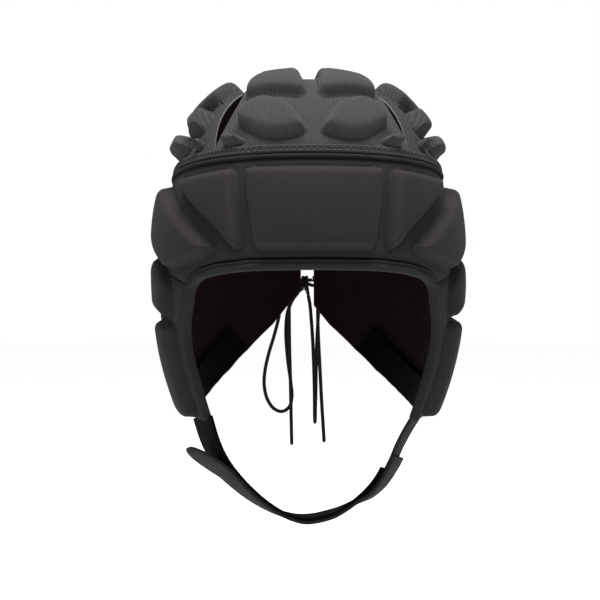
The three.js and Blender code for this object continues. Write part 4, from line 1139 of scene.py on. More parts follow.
class SCRUMCAP_OT_brow(bpy.types.Operator):
    """Make the brow panel with its five pads"""

    bl_idname = "scrumcap.brow"
    bl_label = "Brow"

    def execute(self, context):
        sizes = context.scene.scrum_cap_sizes
        line, corner = panel_edge(sizes)

        def place(azimuth, share):
            top = ring_height(azimuth) - SEAM_GAP / 2
            bottom = brow_bottom(np.abs(azimuth), line, corner)
            return on_band(azimuth, lerp(top, bottom, share))

        grid = sizes.grid / mm
        shares = crowded(2 * math.radians(BROW_TIP) * HEAD_FRONT_DEPTH, grid)
        azimuth, share = np.meshgrid(lerp(-BROW_TIP, BROW_TIP, shares), crowded(BROW_HEIGHT, grid))
        base = place(azimuth, share)
        flat = np.stack([np.radians(azimuth) * HEAD_FRONT_DEPTH, base[..., 2]], -1)
        pads = [(np.array([place(*c) for c in BROW_PAD]), sizes.brow_pad / mm)]
        for side in (-1, 1):
            side_pads = ((BROW_SIDE_PAD, sizes.brow_pad), (TEMPLE_PAD, sizes.temple_pad))
            for corners, height in side_pads:
                placed = np.array([place(side * a, s) for a, s in corners])
                pads.append((placed, height / mm))
        cloths = [Materials.get("shell"), Materials.get("lining")]
        piece = padded_panel("brow_padding", base, flat, pads, False, sizes, cloths)
        stand_for(piece, "brow_panel", slot="shell_cloth")
        return {"FINISHED"}


class SCRUMCAP_OT_sides(bpy.types.Operator):
    """Make the two side panels with their ear openings"""

    bl_idname = "scrumcap.sides"
    bl_label = "Sides"

    def execute(self, context):
        sizes = context.scene.scrum_cap_sizes
        for name, side in SIDES:
            self.panel(sizes, name, side)
        return {"FINISHED"}

    def panel(self, sizes, name, side):
        line, corner = panel_edge(sizes)
        front = line[corner - 1 :]
        rear = SIDE_REAR_SEAM - math.degrees(SEAM_GAP / 2 / HEAD_HALF_WIDTH)

        def place(azimuth, share):
            top = side_top(azimuth, line, corner)
            return on_band(side * azimuth, lerp(top, arch_height(azimuth), share))

        down = crowded(BAND_HEIGHT, sizes.grid / mm)
        first = np.full(len(down), float(azimuth_of(line[corner])))
        for _ in range(12):
            z = lerp(side_top(first, line, corner), arch_height(first), down)
            first = np.interp(-z, -front[:, 2], azimuth_of(front))
        across = crowded(SIDE_LENGTH, sizes.grid / mm)
        front_azimuth = BROW_SEAM[0][0]
        tip = (BROW_TIP - front_azimuth) / (rear - front_azimuth)
        before = np.clip(across / tip, 0, 1)
        after = np.clip((across - tip) / (1 - tip), 0, 1)
        azimuth = lerp(first[:, None], BROW_TIP, before) + (rear - BROW_TIP) * after
        base = place(azimuth, down[:, None])
        flat = np.stack([np.radians(azimuth) * SIDE_MAP_RADIUS, base[..., 2]], -1)
        pads = [
            (np.array([place(a, s) for a, s in corners]), sizes.side_pad / mm)
            for corners in SIDE_PADS
        ]

        def hole(p):
            y = (p[..., 1] - EAR_REARWARD) / EAR_HALF_LENGTH
            z = (p[..., 2] + EAR_DROP) / EAR_HALF_HEIGHT
            away = np.abs(np.hypot(y, z) - 1) * (EAR_HALF_LENGTH + EAR_HALF_HEIGHT) / 2
            return away + EAR_LAND

        cloths = [Materials.get("shell"), Materials.get("lining")]
        piece = padded_panel(
            f"side_padding_{name}", base, flat, pads, False, sizes, cloths, hole
        )
        self.cut_ear(piece, side)
        stand_for(piece, f"side_panel_{name}", slot="shell_cloth")

    def cut_ear(self, piece, side):
        bpy.ops.object.select_all(action="DESELECT")
        bpy.ops.mesh.primitive_cylinder_add(
            vertices=96,
            radius=1,
            depth=HEAD_HALF_WIDTH * mm,
            location=(side * HEAD_HALF_WIDTH * mm, EAR_REARWARD * mm, -EAR_DROP * mm),
            rotation=(0, math.pi / 2, 0),
            scale=(EAR_HALF_HEIGHT * mm, EAR_HALF_LENGTH * mm, 1),
        )
        cutter = bpy.context.active_object
        select_only(piece)
        cut = piece.modifiers.new("ear opening", "BOOLEAN")
        cut.operation = "DIFFERENCE"
        cut.solver = "EXACT"
        cut.object = cutter
        bpy.ops.object.modifier_apply(modifier=cut.name)
        bpy.data.objects.remove(cutter)
        merge_points(CUT_MERGE, slivers=True)
        cut_mesh = bmesh.new()
        cut_mesh.from_mesh(piece.data)
        between = [v for v in cut_mesh.verts if len(v.link_edges) == 2]
        bmesh.ops.dissolve_verts(cut_mesh, verts=between)
        cut_mesh.to_mesh(piece.data)
        cut_mesh.free()


class SCRUMCAP_OT_nape(bpy.types.Operator):
    """Make the two rear panels beside the lacing"""

    bl_idname = "scrumcap.nape"
    bl_label = "Nape"

    def execute(self, context):
        sizes = context.scene.scrum_cap_sizes
        for name, side in SIDES:
            self.panel(sizes, name, side)
        return {"FINISHED"}

    def panel(self, sizes, name, side):
        edge = LACE_GAP_CENTRE + side * LACE_GAP_WIDTH / 2
        front = SIDE_REAR_SEAM + math.degrees(SEAM_GAP / 2 / HEAD_HALF_WIDTH)

        def height(azimuth, share):
            return lerp(ring_height(azimuth) - SEAM_GAP / 2, arch_height(azimuth), share)

        def last(z):
            back = on_band(180, z)[..., 1]
            return 180 - np.degrees(np.arctan2(side * edge, back))

        across = crowded(NAPE_LENGTH, sizes.grid / mm)
        down = crowded(BAND_HEIGHT, sizes.grid / mm)[:, None]
        azimuth = lerp(front, 178, across) + 0 * down
        for _ in range(5):
            azimuth = lerp(front, last(height(azimuth, down)), across)
        base = on_band(side * azimuth, height(azimuth, down))
        flat = np.stack([np.radians(azimuth) * NAPE_MAP_RADIUS, base[..., 2]], -1)
        pads = [
            (np.array([on_band(side * a, height(a, s)) for a, s in corners]), sizes.rear_pad / mm)
            for corners in REAR_PADS
        ]
        cloths = [Materials.get("shell"), Materials.get("lining")]
        piece = padded_panel(f"nape_padding_{name}", base, flat, pads, False, sizes, cloths)
        stand_for(piece, f"rear_panel_{name}", slot="shell_cloth")


# Panels of the crown


def ring_angles(rear):
    """A table of the angle over the head where the crown meets its ring, by x."""
    table = []
    for x in np.linspace(0, CROWN_SEAM_HALF_RING + 1, 50):
        low, high = (100, 170) if rear else (10, 80)
        for _ in range(30):
            middle = (low + high) / 2
            p = over_head(x, middle)
            below = p[2] < ring_height(azimuth_of(p)) + SEAM_GAP / 2
            if below == rear:
                high = middle
            else:
                low = middle
        table.append((x, high if rear else low))
    return table


def seam_half(angle, front_angle):
    share = np.abs(np.cos(np.radians(angle))) / abs(math.cos(math.radians(front_angle)))
    bend = np.minimum(1, share) ** CROWN_SEAM_POWER
    return lerp(CROWN_SEAM_HALF_TOP, CROWN_SEAM_HALF_RING, bend)


def vent_half(angle, side):
    near_top = np.minimum(angle, 180 - angle)
    first, last = np.where(angle[..., None] < 90, VENT_ANGLES, REAR_VENT_ANGLES).T
    share = (near_top - first.T) / (last.T - first.T)
    lens = np.sin(math.pi * np.clip(share, 0, 1))
    return SEAM_GAP / 2 + VENT_WIDTH[side] / 2 * lens


class SCRUMCAP_OT_crown(bpy.types.Operator):
    """Make the crown's centre and side panels with the vents between them"""

    bl_idname = "scrumcap.crown"
    bl_label = "Crown"

    def execute(self, context):
        sizes = context.scene.scrum_cap_sizes
        tables = ring_angles(False), ring_angles(True)
        self.centre(sizes, tables)
        for name, side in SIDES:
            self.side(sizes, tables, name, side)
        return {"FINISHED"}

    def centre(self, sizes, tables):
        front, rear = tables
        front_angle = read_table(front, CROWN_SEAM_HALF_RING)
        rear_angle = read_table(rear, CROWN_SEAM_HALF_RING)
        across = 2 * crowded(CROWN_WIDTH, sizes.grid / mm) - 1
        down = crowded(CROWN_LENGTH, sizes.grid / mm)[:, None]
        side = np.where(across < 0, -1, 1)

        def edge(angle):
            right = seam_half(angle, front_angle) - vent_half(angle, -1)
            left = seam_half(angle, front_angle) - vent_half(angle, 1)
            return np.where(across < 0, right, left)

        angle = lerp(front_angle, rear_angle, down) + 0 * across
        for _ in range(5):
            x = np.abs(across) * edge(angle)
            angle = lerp(read_table(front, x), read_table(rear, x), down)
        x = side * np.abs(across) * edge(angle)
        base = over_head(x, angle)
        flat = np.stack([x * CROWN_MAP_STRETCH, np.radians(angle) * CROWN_HEIGHT], -1)
        pads = []
        for side_sign in (-1, 1):
            for setting, rearward, corners in CROWN_CENTRE_PADS:
                share, turn = np.array(corners).T
                at = 180 - turn if rearward else turn
                placed = over_head(side_sign * share * seam_half(at, front_angle), at)
                pads.append((placed, getattr(sizes, setting) / mm))
        cloths = [Materials.get("crown"), Materials.get("lining")]
        piece = padded_panel("crown_centre_padding", base, flat, pads, True, sizes, cloths)
        stand_for(piece, "crown_centre_panel", slot="crown_cloth")

    def side(self, sizes, tables, name, side):
        front_angle, rear_angle = (read_table(t, CROWN_SEAM_HALF_RING) for t in tables)
        half_ring = CROWN_SEAM_HALF_RING + SEAM_GAP
        first = azimuth_of(over_head(half_ring, front_angle)) + 1
        last = azimuth_of(over_head(half_ring, rear_angle)) - 1
        across = crowded(CROWN_SIDE_LENGTH, sizes.grid / mm)
        down = crowded(CROWN_SIDE_HEIGHT, sizes.grid / mm)[:, None]
        angle = lerp(front_angle, rear_angle, np.clip(across, 0.025, 0.975))
        top_half = seam_half(angle, front_angle) + vent_half(angle, side)
        up = np.array([0, 0, CROWN_HEIGHT])
        top = unit(over_head(top_half, angle) + up)
        azimuth = lerp(first, last, across)
        foot = unit(on_band(azimuth, ring_height(azimuth) + SEAM_GAP / 2) + up)
        direction = unit(lerp(top, foot, down[..., None]))
        base = on_dome(direction * [side, 1, 1])
        elevation = np.arcsin(direction[..., 2])
        around = np.radians(azimuth) * CROWN_SIDE_MAP_RADIUS + 0 * down
        flat = np.stack([around, elevation * CROWN_SIDE_MAP_HEIGHT], -1)
        top_pad = np.array([(side * a, e) for a, e in CROWN_TOP_SIDE_PAD]).T
        pads = [(dome_at(*top_pad), sizes.crown_pad / mm)]
        for rearward in (False, True):
            for corners in [*CROWN_SIDE_PADS, CROWN_SIDE_SMALL_PAD]:
                small = corners is CROWN_SIDE_SMALL_PAD
                placed = [(side * (180 - a if rearward else a), e) for a, e in corners]
                height = sizes.small_pad if small else sizes.crown_pad
                pads.append((dome_at(*np.array(placed).T), height / mm))
        # The third cloth, for the open vents' cut edges, is paler as a painted highlight
        cloths = [Materials.get("crown_side"), Materials.get("lining"), Materials.get("edge")]
        open_edge = vent_half(angle, side) > SEAM_GAP / 2 + VENT_OPEN_HALF
        piece = padded_panel(
            f"crown_side_padding_{name}", base, flat, pads, True, sizes, cloths,
            lip=open_edge[:-1] & open_edge[1:],
        )
        stand_for(piece, f"crown_side_panel_{name}", slot="crown_cloth")


# Trim

PIPING_SEAT = 0.65  # how far the piping sits down into the seam
PIPING_TAIL = 1.5  # the flange that is sewn into the seam
PIPING_TAIL_HALF = 0.14
PIPING_STEPS = 360
TAPE_STEPS = 420
ZIGZAG_COUNT = 320
ZIGZAG_REACH = 0.62  # of the tape's half width
BINDING_STEPS = 260
BINDING_FOOT = 0.2  # how far above the cheeks' edge the binding ends
GROOVE = 3.64  # the binding's sewn groove, from its outer edge


def ring_frame(height, steps):
    """Points round the head at a height over the crown's ring, the ways out and up there."""
    azimuth = np.arange(steps) * 360 / steps
    foot = on_band(azimuth, ring_height(azimuth) + height)
    out = normal_at(foot)
    turn = np.radians(azimuth)
    along = np.stack([np.cos(turn), np.sin(turn), np.zeros(steps)], -1)
    return foot, out, unit(np.cross(along, out))


class SCRUMCAP_OT_crown_trim(bpy.types.Operator):
    """Make the tape and the piping over the crown's seam"""

    bl_idname = "scrumcap.crown_trim"
    bl_label = "Crown trim"

    def execute(self, context):
        sizes = context.scene.scrum_cap_sizes
        self.piping(sizes)
        self.tape(sizes)
        return {"FINISHED"}

    def piping(self, sizes):
        radius = sizes.piping / mm / 2
        foot, out, up = ring_frame(0, PIPING_STEPS)
        turn = np.radians(np.linspace(-82, 262, 16))
        cord = np.stack([radius * np.cos(turn), radius * np.sin(turn)], -1)
        deep = -radius - PIPING_TAIL
        section = np.concatenate([cord, [(-PIPING_TAIL_HALF, deep), (PIPING_TAIL_HALF, deep)]])
        skin = Skin()
        centres = foot + out * (sizes.wall / mm + radius - PIPING_SEAT)
        sweep(skin, centres, up, out, section, hoop=True)
        piece = skin.make("crown_piping_cord", [Materials.get("binding")])
        stand_for(piece, "crown_piping", slot="tape_cloth")

    def tape(self, sizes):
        width = sizes.tape_width / mm
        thickness = sizes.tape_thickness / mm
        low = sizes.piping / mm / 2 + LAY_GAP
        wall = sizes.wall / mm + LAY_GAP
        foot, out, up = ring_frame(low + width / 2, TAPE_STEPS)
        t, w = thickness, width / 2
        section = np.array(
            [
                (-w, 0.15), (-w, 0.6 * t), (-w + 0.25, 0.95 * t), (-w + 0.9, t), (-0.6, 0.8 * t),
                (0, 0.55 * t), (0.6, 0.8 * t), (w - 0.9, t), (w - 0.25, 0.95 * t), (w, 0.6 * t),
                (w, 0.15), (w - 0.3, 0), (-w + 0.3, 0),
            ]
        )
        skin = Skin()
        sweep(skin, foot + out * wall, up, out, section, hoop=True)
        zigzag, normals = [], []
        for i in range(ZIGZAG_COUNT + 1):
            index = i / ZIGZAG_COUNT * len(foot)
            a, b = int(index) % len(foot), (int(index) + 1) % len(foot)
            centre = lerp(foot[a], foot[b], index - int(index))
            outward = unit(lerp(out[a], out[b], index - int(index)))
            rise = (ZIGZAG_REACH if i % 2 else -ZIGZAG_REACH) * w
            zigzag.append(centre + up[a] * rise + outward * (wall + t))
            normals.append(outward)
        for i in range(ZIGZAG_COUNT):
            pair = np.array(zigzag[i : i + 2]), np.array(normals[i : i + 2])
            single_stitch(skin, *pair, sizes, 1)
        piece = skin.make("crown_tape_band", [Materials.get("tape"), Materials.get("thread")])
        stand_for(piece, "crown_tape", slot="tape_cloth")


def single_stitch(skin, points, normals, sizes, slot):
    """One stitch from point to point."""
    radius = sizes.thread / mm / 2
    a, b = points
    up = unit(normals.mean(0))
    along = unit(b - a)
    aside = unit(np.cross(up, along))
    ring = circle(radius, STITCH_SIDES)
    rings = []
    for share, rise, width in ZIGZAG_STITCH:
        centre = lerp(a, b, share) + up * radius * rise
        rings.append(centre + width * (ring[:, :1] * aside + ring[:, 1:] * up))
    skin.add(np.concatenate(rings), *stitch_faces(len(ZIGZAG_STITCH), 0.25), slot)


class SCRUMCAP_OT_binding(bpy.types.Operator):
    """Make the rolled binding round the face opening, with its sewn groove"""

    bl_idname = "scrumcap.binding"
    bl_label = "Face binding"

    def execute(self, context):
        sizes = context.scene.scrum_cap_sizes
        width = sizes.binding_width / mm
        thickness = sizes.binding_thickness / mm
        wall = sizes.wall / mm
        edge = face_line(0, BINDING_STEPS)
        whole = np.concatenate([edge[:0:-1] * [-1, 1, 1], edge])
        depth = wall / 2 - BINDING_INSET + (thickness - wall) / 2
        along = tangents(whole)
        out = normal_at(whole)
        aside = unit(np.cross(out, along))
        moved = band_ground(whole + aside * width / 2 + out * depth)
        centres = lift(moved, depth)
        out = normal_at(moved)
        w, t = width / 2, thickness / 2
        section = np.array(
            [
                (-w, -0.2), (-w + 0.1, 0.45 * t), (-w + 0.45, 0.78 * t), (-w + 1.05, 0.96 * t),
                (-w + 1.8, t), (-w + 2.5, 0.97 * t), (-w + 3.05, 0.82 * t), (-w + 3.4, 0.6 * t),
                (-w + 3.62, 0.42 * t), (-w + 3.85, 0.45 * t), (-w + 4.15, 0.62 * t),
                (w - 0.7, 0.68 * t), (w - 0.2, 0.55 * t), (w, 0.2 * t), (w, -0.7 * t),
                (w + BINDING_FLANGE, -0.72 * t), (w + BINDING_FLANGE, -0.9 * t),
                (w - 1.6, -0.95 * t), (-w + 1.4, -0.95 * t),
                (-w + 0.6, -0.82 * t), (-w + 0.12, -0.5 * t),
            ]
        )
        kept = centres[:, 2] > BINDING_FOOT - CHEEK_DROP
        skin = Skin()
        sweep(skin, centres[kept], aside[kept], out[kept], section)
        groove = centres + aside * (-w + GROOVE) + out * (0.42 * t + 0.1)
        stitches(skin, groove[kept], out[kept], sizes, 1)
        piece = skin.make("face_binding_roll", [Materials.get("binding"), Materials.get("thread")])
        stand_for(piece, "face_binding", slot="binding_cloth")
        return {"FINISHED"}


# The chin strap


class SCRUMCAP_OT_strap_roots(bpy.types.Operator):
    """Make the black bands sewn inside the cheeks"""

    bl_idname = "scrumcap.strap_roots"
    bl_label = "Strap roots"

    def execute(self, context):
        sizes = context.scene.scrum_cap_sizes
        line, _ = panel_edge(sizes)
        first = float(azimuth_of(line[-1])) + 1
        azimuth = lerp(first, STRAP_ROOT_END, np.linspace(0, 1, 161))
        foot = on_band(azimuth, arch_height(azimuth) + STRAP_ROOT_RISE)
        aside = unit(np.cross(tangents(foot), normal_at(foot)))
        aside *= np.where(aside[:, 2:] < 0, -1, 1)
        width = sizes.root_width / mm
        share = crowded(width, 0.9)
        for name, side in SIDES:
            spread = foot + aside * (width * share)[:, None, None]
            base = band_ground(spread) * [side, 1, 1]
            flat = np.stack(
                np.broadcast_arrays(
                    np.radians(azimuth) * SIDE_MAP_RADIUS, width * share[:, None]
                ),
                -1,
            )
            turn = np.clip(edge_distance(base) / ROOT_ROUND, 0, 1)
            drop = ROOT_ROUND * (1 - np.sqrt(1 - (1 - turn) ** 2))
            near = -STRAP_ROOT_STAND_OFF
            far = near - STRAP_ROOT_THICKNESS
            skin = Skin()
            closed_wall(skin, lift(base, near - drop), lift(base, far + drop), flat, [0, 0, 0])
            piece = skin.make(f"strap_root_band_{name}", [Materials.get("hook")])
            stand_for(piece, f"strap_root_{name}", slot="hook_cloth")
        return {"FINISHED"}


# Shares of the chin line
STRAP_INNER_END = 0.8
STRAP_OUTER_END = 0.85
TAB_END = 0.665
TAB_RISE = (TAB_END - 0.01, TAB_END + 0.05)  # where the tab comes out over the inner layer
TAB_FALL = (0.84, 1)  # where it goes back to the cheek
TONGUE_ROOT = 0.21
TONGUE_TIP = 0.082
TIP_LENGTH = 0.055
TONGUE_LIFT = 9.5
OUTER_THICKNESS = 1.8
STRAP_EDGE = 0.7  # how far in from its edge a layer is rounded
STITCH_ROW = 3  # how far in a stitch row lies, as a multiple of that
STITCH_ROW_DEPTH = 0.22
CHIN_LINE_STEPS = 2000
# A layer's section: side, multiple of the rounded edge, share of the half thickness, sink
STRAP_SECTION = [
    (-1, 1, -1, 0), (1, -1, -1, 0), (1, -0.2, -0.7, 0), (1, 0, 0, 0), (1, -0.2, 0.7, 0),
    (1, -1, 1, 0), (1, -2.2, 1, 0), (1, -STITCH_ROW, 1, STITCH_ROW_DEPTH), (1, -3.8, 1, 0),
    (-1, 3.8, 1, 0), (-1, STITCH_ROW, 1, STITCH_ROW_DEPTH), (-1, 2.2, 1, 0), (-1, 1, 1, 0),
    (-1, 0.2, 0.7, 0), (-1, 0, 0, 0), (-1, 0.2, -0.7, 0),
]
STRAP_SEWN = 1.2  # how far the strap goes up between the cheek's cloths
STRAP_PRESSED = 0.12  # how far the strap's layers sink into each other


def smooth_step(value, low, high):
    t = np.clip((value - low) / (high - low), 0, 1)
    return t * t * (3 - 2 * t)


class SCRUMCAP_OT_chin_strap(bpy.types.Operator):
    """Make the three layers of the chin strap"""

    bl_idname = "scrumcap.chin_strap"
    bl_label = "Chin strap"

    def execute(self, context):
        sizes = context.scene.scrum_cap_sizes
        thickness = sizes.strap_thickness / mm
        step = (thickness + OUTER_THICKNESS) / 2 - STRAP_PRESSED

        def over_tab(share):
            return smooth_step(share, *TAB_RISE)

        def tab_stand_off(share):
            raised = over_tab(share) * (1 - smooth_step(share, *TAB_FALL))
            return (thickness - STRAP_PRESSED) * raised

        def outer_stand_off(share):
            lifted = np.clip((TONGUE_ROOT - share) / (TONGUE_ROOT - TONGUE_TIP), 0, 1)
            raised = over_tab(share) * (thickness - STRAP_PRESSED)
            return step + raised + TONGUE_LIFT * lifted**1.5

        strap, hook, thread = (Materials.get(n) for n in ("strap", "hook", "thread"))
        inner = self.layer(
            sizes, "strap_inner_band", 0, STRAP_INNER_END, sizes.strap_width / mm, thickness,
            lambda share: 0 * share, None, [hook, hook, thread], False,
        )
        stand_for(inner, "strap_inner", slot="hook_cloth")
        tab = self.layer(
            sizes, "strap_tab_band", TAB_END, 1, sizes.tab_width / mm, thickness, tab_stand_off,
            None, [strap, strap, thread], True,
        )
        stand_for(tab, "strap_tab", slot="strap_cloth")
        outer = self.layer(
            sizes, "strap_outer_band", TONGUE_TIP, STRAP_OUTER_END, sizes.strap_width / mm,
            OUTER_THICKNESS, outer_stand_off, TONGUE_TIP, [strap, hook, thread], True,
        )
        stand_for(outer, "strap_outer", slot="strap_cloth")
        return {"FINISHED"}

    def layer(self, sizes, name, start, end, width, thickness, stand_off, tip, cloths, sewn):
        cheek = on_band(STRAP_CENTRE, -CHEEK_DROP)
        reach = cheek[0] + sizes.wall / mm / 2
        points = [
            (across * reach, cheek[1], -lerp(CHEEK_DROP - STRAP_TUCK, CHIN_DROP, down))
            for across, down, _ in CHIN_LINE
        ]
        line = evenly(curve_through(points, 1400), CHIN_LINE_STEPS + 1)
        shares = np.linspace(start, end, max(12, round((end - start) * 260)) + 1)
        if tip is not None:
            near = tip + TIP_LENGTH * (1 - np.cos(np.linspace(0, math.pi / 2, 24)))
            shares = np.concatenate([near, shares[shares > near[-1] + 0.001]])
        place = shares * CHIN_LINE_STEPS
        p = at_places(line, place)
        along = unit(at_places(tangents(line), place))
        out = np.stack([along[:, 2], 0 * along[:, 0], -along[:, 0]], -1)
        tilt = np.radians(read_table(CHIN_LINE, p[:, 0] / reach, 2))[:, None]
        forward = np.array([0, 1, 0])
        aside = forward * np.cos(tilt) + out * np.sin(tilt)
        face = out * np.cos(tilt) - forward * np.sin(tilt)
        centres = p + out * stand_off(shares)[:, None]
        narrow = np.ones(len(shares))
        if tip is not None:
            left = np.minimum(1, np.abs(shares - tip) / TIP_LENGTH)
            narrow = np.maximum(np.sqrt(1 - (1 - left) ** 2), 0.04)
        w, t = width / 2 * narrow, thickness / 2
        soft = np.minimum(STRAP_EDGE, w / 2)
        section = np.stack(
            [
                np.stack([side * w + inset * soft, rise * t - sink + 0 * w], -1)
                for side, inset, rise, sink in STRAP_SECTION
            ],
            1,
        )
        kept = centres[:, 2] < STRAP_SEWN - CHEEK_DROP
        skin = Skin()
        sweep(skin, centres[kept], aside[kept], face[kept], section[kept])
        skin.slots[0] = inside_slots(skin, face[kept], section.shape[1])
        if sewn:
            for sign in (-1, 1):
                offset = sign * (w - STITCH_ROW * soft)
                row = centres + aside * offset[:, None] + face * (t - 0.15)
                long_enough = kept & (narrow > 0.5)
                stitches(skin, row[long_enough], face[long_enough], sizes, 2)
        return skin.make(name, cloths)


def inside_slots(skin, face, sides):
    """1 for the faces on the wearer's side of a strap, 0 for the others."""
    slots = np.zeros(len(skin.faces), int)
    spans = len(face) - 1
    inside = np.arange(spans * sides) % sides == 0
    slots[: spans * sides][inside] = 1
    return slots


# The lacing


def wall_face(x, z):
    p = on_band(180, z)
    azimuth = 180 - np.degrees(np.arctan2(x, p[..., 1]))
    return on_band(azimuth, z)


def loop_place(side, row):
    """The seat of a webbing loop: its point on the form, outwards and sideways."""
    z = -LACE_TOP_DROP - row * LACE_ROW_PITCH
    edge = LACE_GAP_CENTRE + side * LACE_GAP_WIDTH / 2
    p = wall_face(edge + side * LOOP_LENGTH / 2, z)
    out = unit(normal_at(p) * [1, 1, 0])
    return p, out, np.cross([0, 0, 1], out), z, edge


def eye_point(side, row, up, wall):
    _, out, _, z, edge = loop_place(side, row)
    p = wall_face(edge + side * (LOOP_EYE + 2 * LOOP_THICKNESS) / 2, z)
    rise = wall + LOOP_STAND_OFF + LOOP_THICKNESS + LOOP_EYE / 2
    moved = p + out * rise
    return np.array([moved[0], moved[1], z + up])


def knot_centre(wall):
    return wall_face(LACE_GAP_CENTRE, -KNOT_DROP) + [KNOT_SHIFT, wall + KNOT_STAND_OFF, 0]


def knot_entry(side, wall):
    direction = unit(np.array([side * 0.8, -0.2, 0.56]))
    return knot_centre(wall) + direction * (KNOT_HALF + LOOP_STAND_OFF)


def strand_route(first, overlap, wall):
    """Through one side's eye, over the gap and on to the next row, down to the knot."""
    points = []
    in_eye = LOOP_WIDTH / 2 + 0.6
    side = first
    for row in range(LACE_ROWS):
        points += [eye_point(side, row, up, wall) for up in (in_eye, 0, -in_eye)]
        if row < LACE_ROWS - 1:
            a = eye_point(side, row, -LACE_ROW_PITCH / 2, wall)
            b = eye_point(-side, row, -LACE_ROW_PITCH / 2, wall)
            points.append((a + b) / 2 + [0, overlap, 0])
        else:
            points.append(knot_entry(side, wall))
        side = -side
    return curve_through(points, 220)


class SCRUMCAP_OT_lace_loops(bpy.types.Operator):
    """Make the six webbing loops beside the lacing gap"""

    bl_idname = "scrumcap.lace_loops"
    bl_label = "Lace loops"

    def execute(self, context):
        sizes = context.scene.scrum_cap_sizes
        first = self.model()
        for name, side in SIDES:
            for row in range(LACE_ROWS):
                piece = bpy.data.objects.new(f"webbing_loop_{name}_{row + 1}", first.data.copy())
                context.scene.collection.objects.link(piece)
                self.settle(piece, side, row, sizes)
                stand_for(piece, f"lace_loop_{name}_{row + 1}", slot="tape_cloth")
        bpy.data.objects.remove(first)
        return {"FINISHED"}

    def model(self):
        """One loop, folded from a flat strip: +X towards its eye, +Y away from the wall."""
        half = LOOP_LENGTH / 2
        centre = LOOP_EYE / 2 + LOOP_THICKNESS
        middle = LOOP_EYE / 2 + LOOP_THICKNESS / 2
        route = [(-half, LOOP_THICKNESS / 2), (-half / 2, LOOP_THICKNESS / 2)]
        turns = np.linspace(-90, 165, 16)
        for turn in np.radians(turns):
            route.append(
                (half - centre + middle * math.cos(turn), centre + middle * math.sin(turn))
            )
        route += [(-half / 2 - 0.6, 1.55 * LOOP_THICKNESS), (-half, 1.5 * LOOP_THICKNESS)]
        bpy.ops.object.select_all(action="DESELECT")
        bpy.ops.mesh.primitive_plane_add(size=LOOP_WIDTH * mm)
        piece = bpy.context.active_object
        bpy.ops.object.mode_set(mode="EDIT")
        bpy.ops.mesh.delete(type="ONLY_FACE")
        bpy.ops.object.mode_set(mode="OBJECT")
        for vertex in piece.data.vertices:
            vertex.select = vertex.co.x > 0
        for edge in piece.data.edges:
            edge.select = all(piece.data.vertices[i].select for i in edge.vertices)
        bpy.ops.object.mode_set(mode="EDIT")
        bpy.ops.mesh.select_all(action="INVERT")
        bpy.ops.mesh.delete(type="VERT")
        bpy.ops.mesh.select_all(action="SELECT")
        bpy.ops.transform.rotate(
            value=math.pi / 2, orient_axis="X", center_override=(LOOP_WIDTH * mm / 2, 0, 0)
        )
        x, y = route[0]
        bpy.ops.transform.translate(value=((x - LOOP_WIDTH / 2) * mm, y * mm, 0))
        for (x0, y0), (x1, y1) in zip(route, route[1:]):
            bpy.ops.mesh.extrude_region_move(
                TRANSFORM_OT_translate={"value": ((x1 - x0) * mm, (y1 - y0) * mm, 0)}
            )
        bpy.ops.object.mode_set(mode="OBJECT")
        thicken = piece.modifiers.new("webbing", "SOLIDIFY")
        thicken.thickness = LOOP_THICKNESS * 0.8 * mm
        thicken.offset = 0
        soften = piece.modifiers.new("soft edges", "BEVEL")
        soften.width = 0.2 * mm
        soften.segments = 2
        soften.limit_method = "ANGLE"
        soften.angle_limit = math.radians(50)
        for name in ("webbing", "soft edges"):
            bpy.ops.object.modifier_apply(modifier=name)
        bpy.ops.object.mode_set(mode="EDIT")
        bpy.ops.mesh.select_all(action="SELECT")
        bpy.ops.mesh.normals_make_consistent(inside=False)
        bpy.ops.uv.cube_project(cube_size=mm, scale_to_bounds=False)
        bpy.ops.object.mode_set(mode="OBJECT")
        bpy.ops.object.shade_smooth_by_angle(angle=math.radians(40))
        piece.data.materials.append(Materials.get("tape"))
        return piece

    def settle(self, piece, side, row, sizes):
        p, out, aside, z, _ = loop_place(side, row)
        seat = lift(p, sizes.wall / mm + LOOP_STAND_OFF)
        toward = -np.sign(aside[0]) * side
        placed = Matrix.Identity(4)
        placed.col[0] = (*(aside * toward), 0)
        placed.col[1] = (*out, 0)
        placed.col[2] = (*np.cross(aside * toward, out), 0)
        placed.col[3] = (seat[0] * mm, seat[1] * mm, z * mm, 1)
        piece.data.transform(placed)
        piece.data.update()


class SCRUMCAP_OT_lace_strands(bpy.types.Operator):
    """Make the lace's strands through the loops"""

    bl_idname = "scrumcap.lace_strands"
    bl_label = "Lace strands"

    def execute(self, context):
        sizes = context.scene.scrum_cap_sizes
        wall = sizes.wall / mm
        for name, first, overlap in (("right", -1, 2.6), ("left", 1, 0)):
            skin = Skin()
            tube(skin, evenly(strand_route(first, overlap, wall), 160), sizes.lace / mm / 2)
            piece = skin.make(f"lace_strand_{name}", [Materials.get("lace")])
            stand_for(piece, f"lace_cross_{name}", slot="lace_cloth")
        return {"FINISHED"}


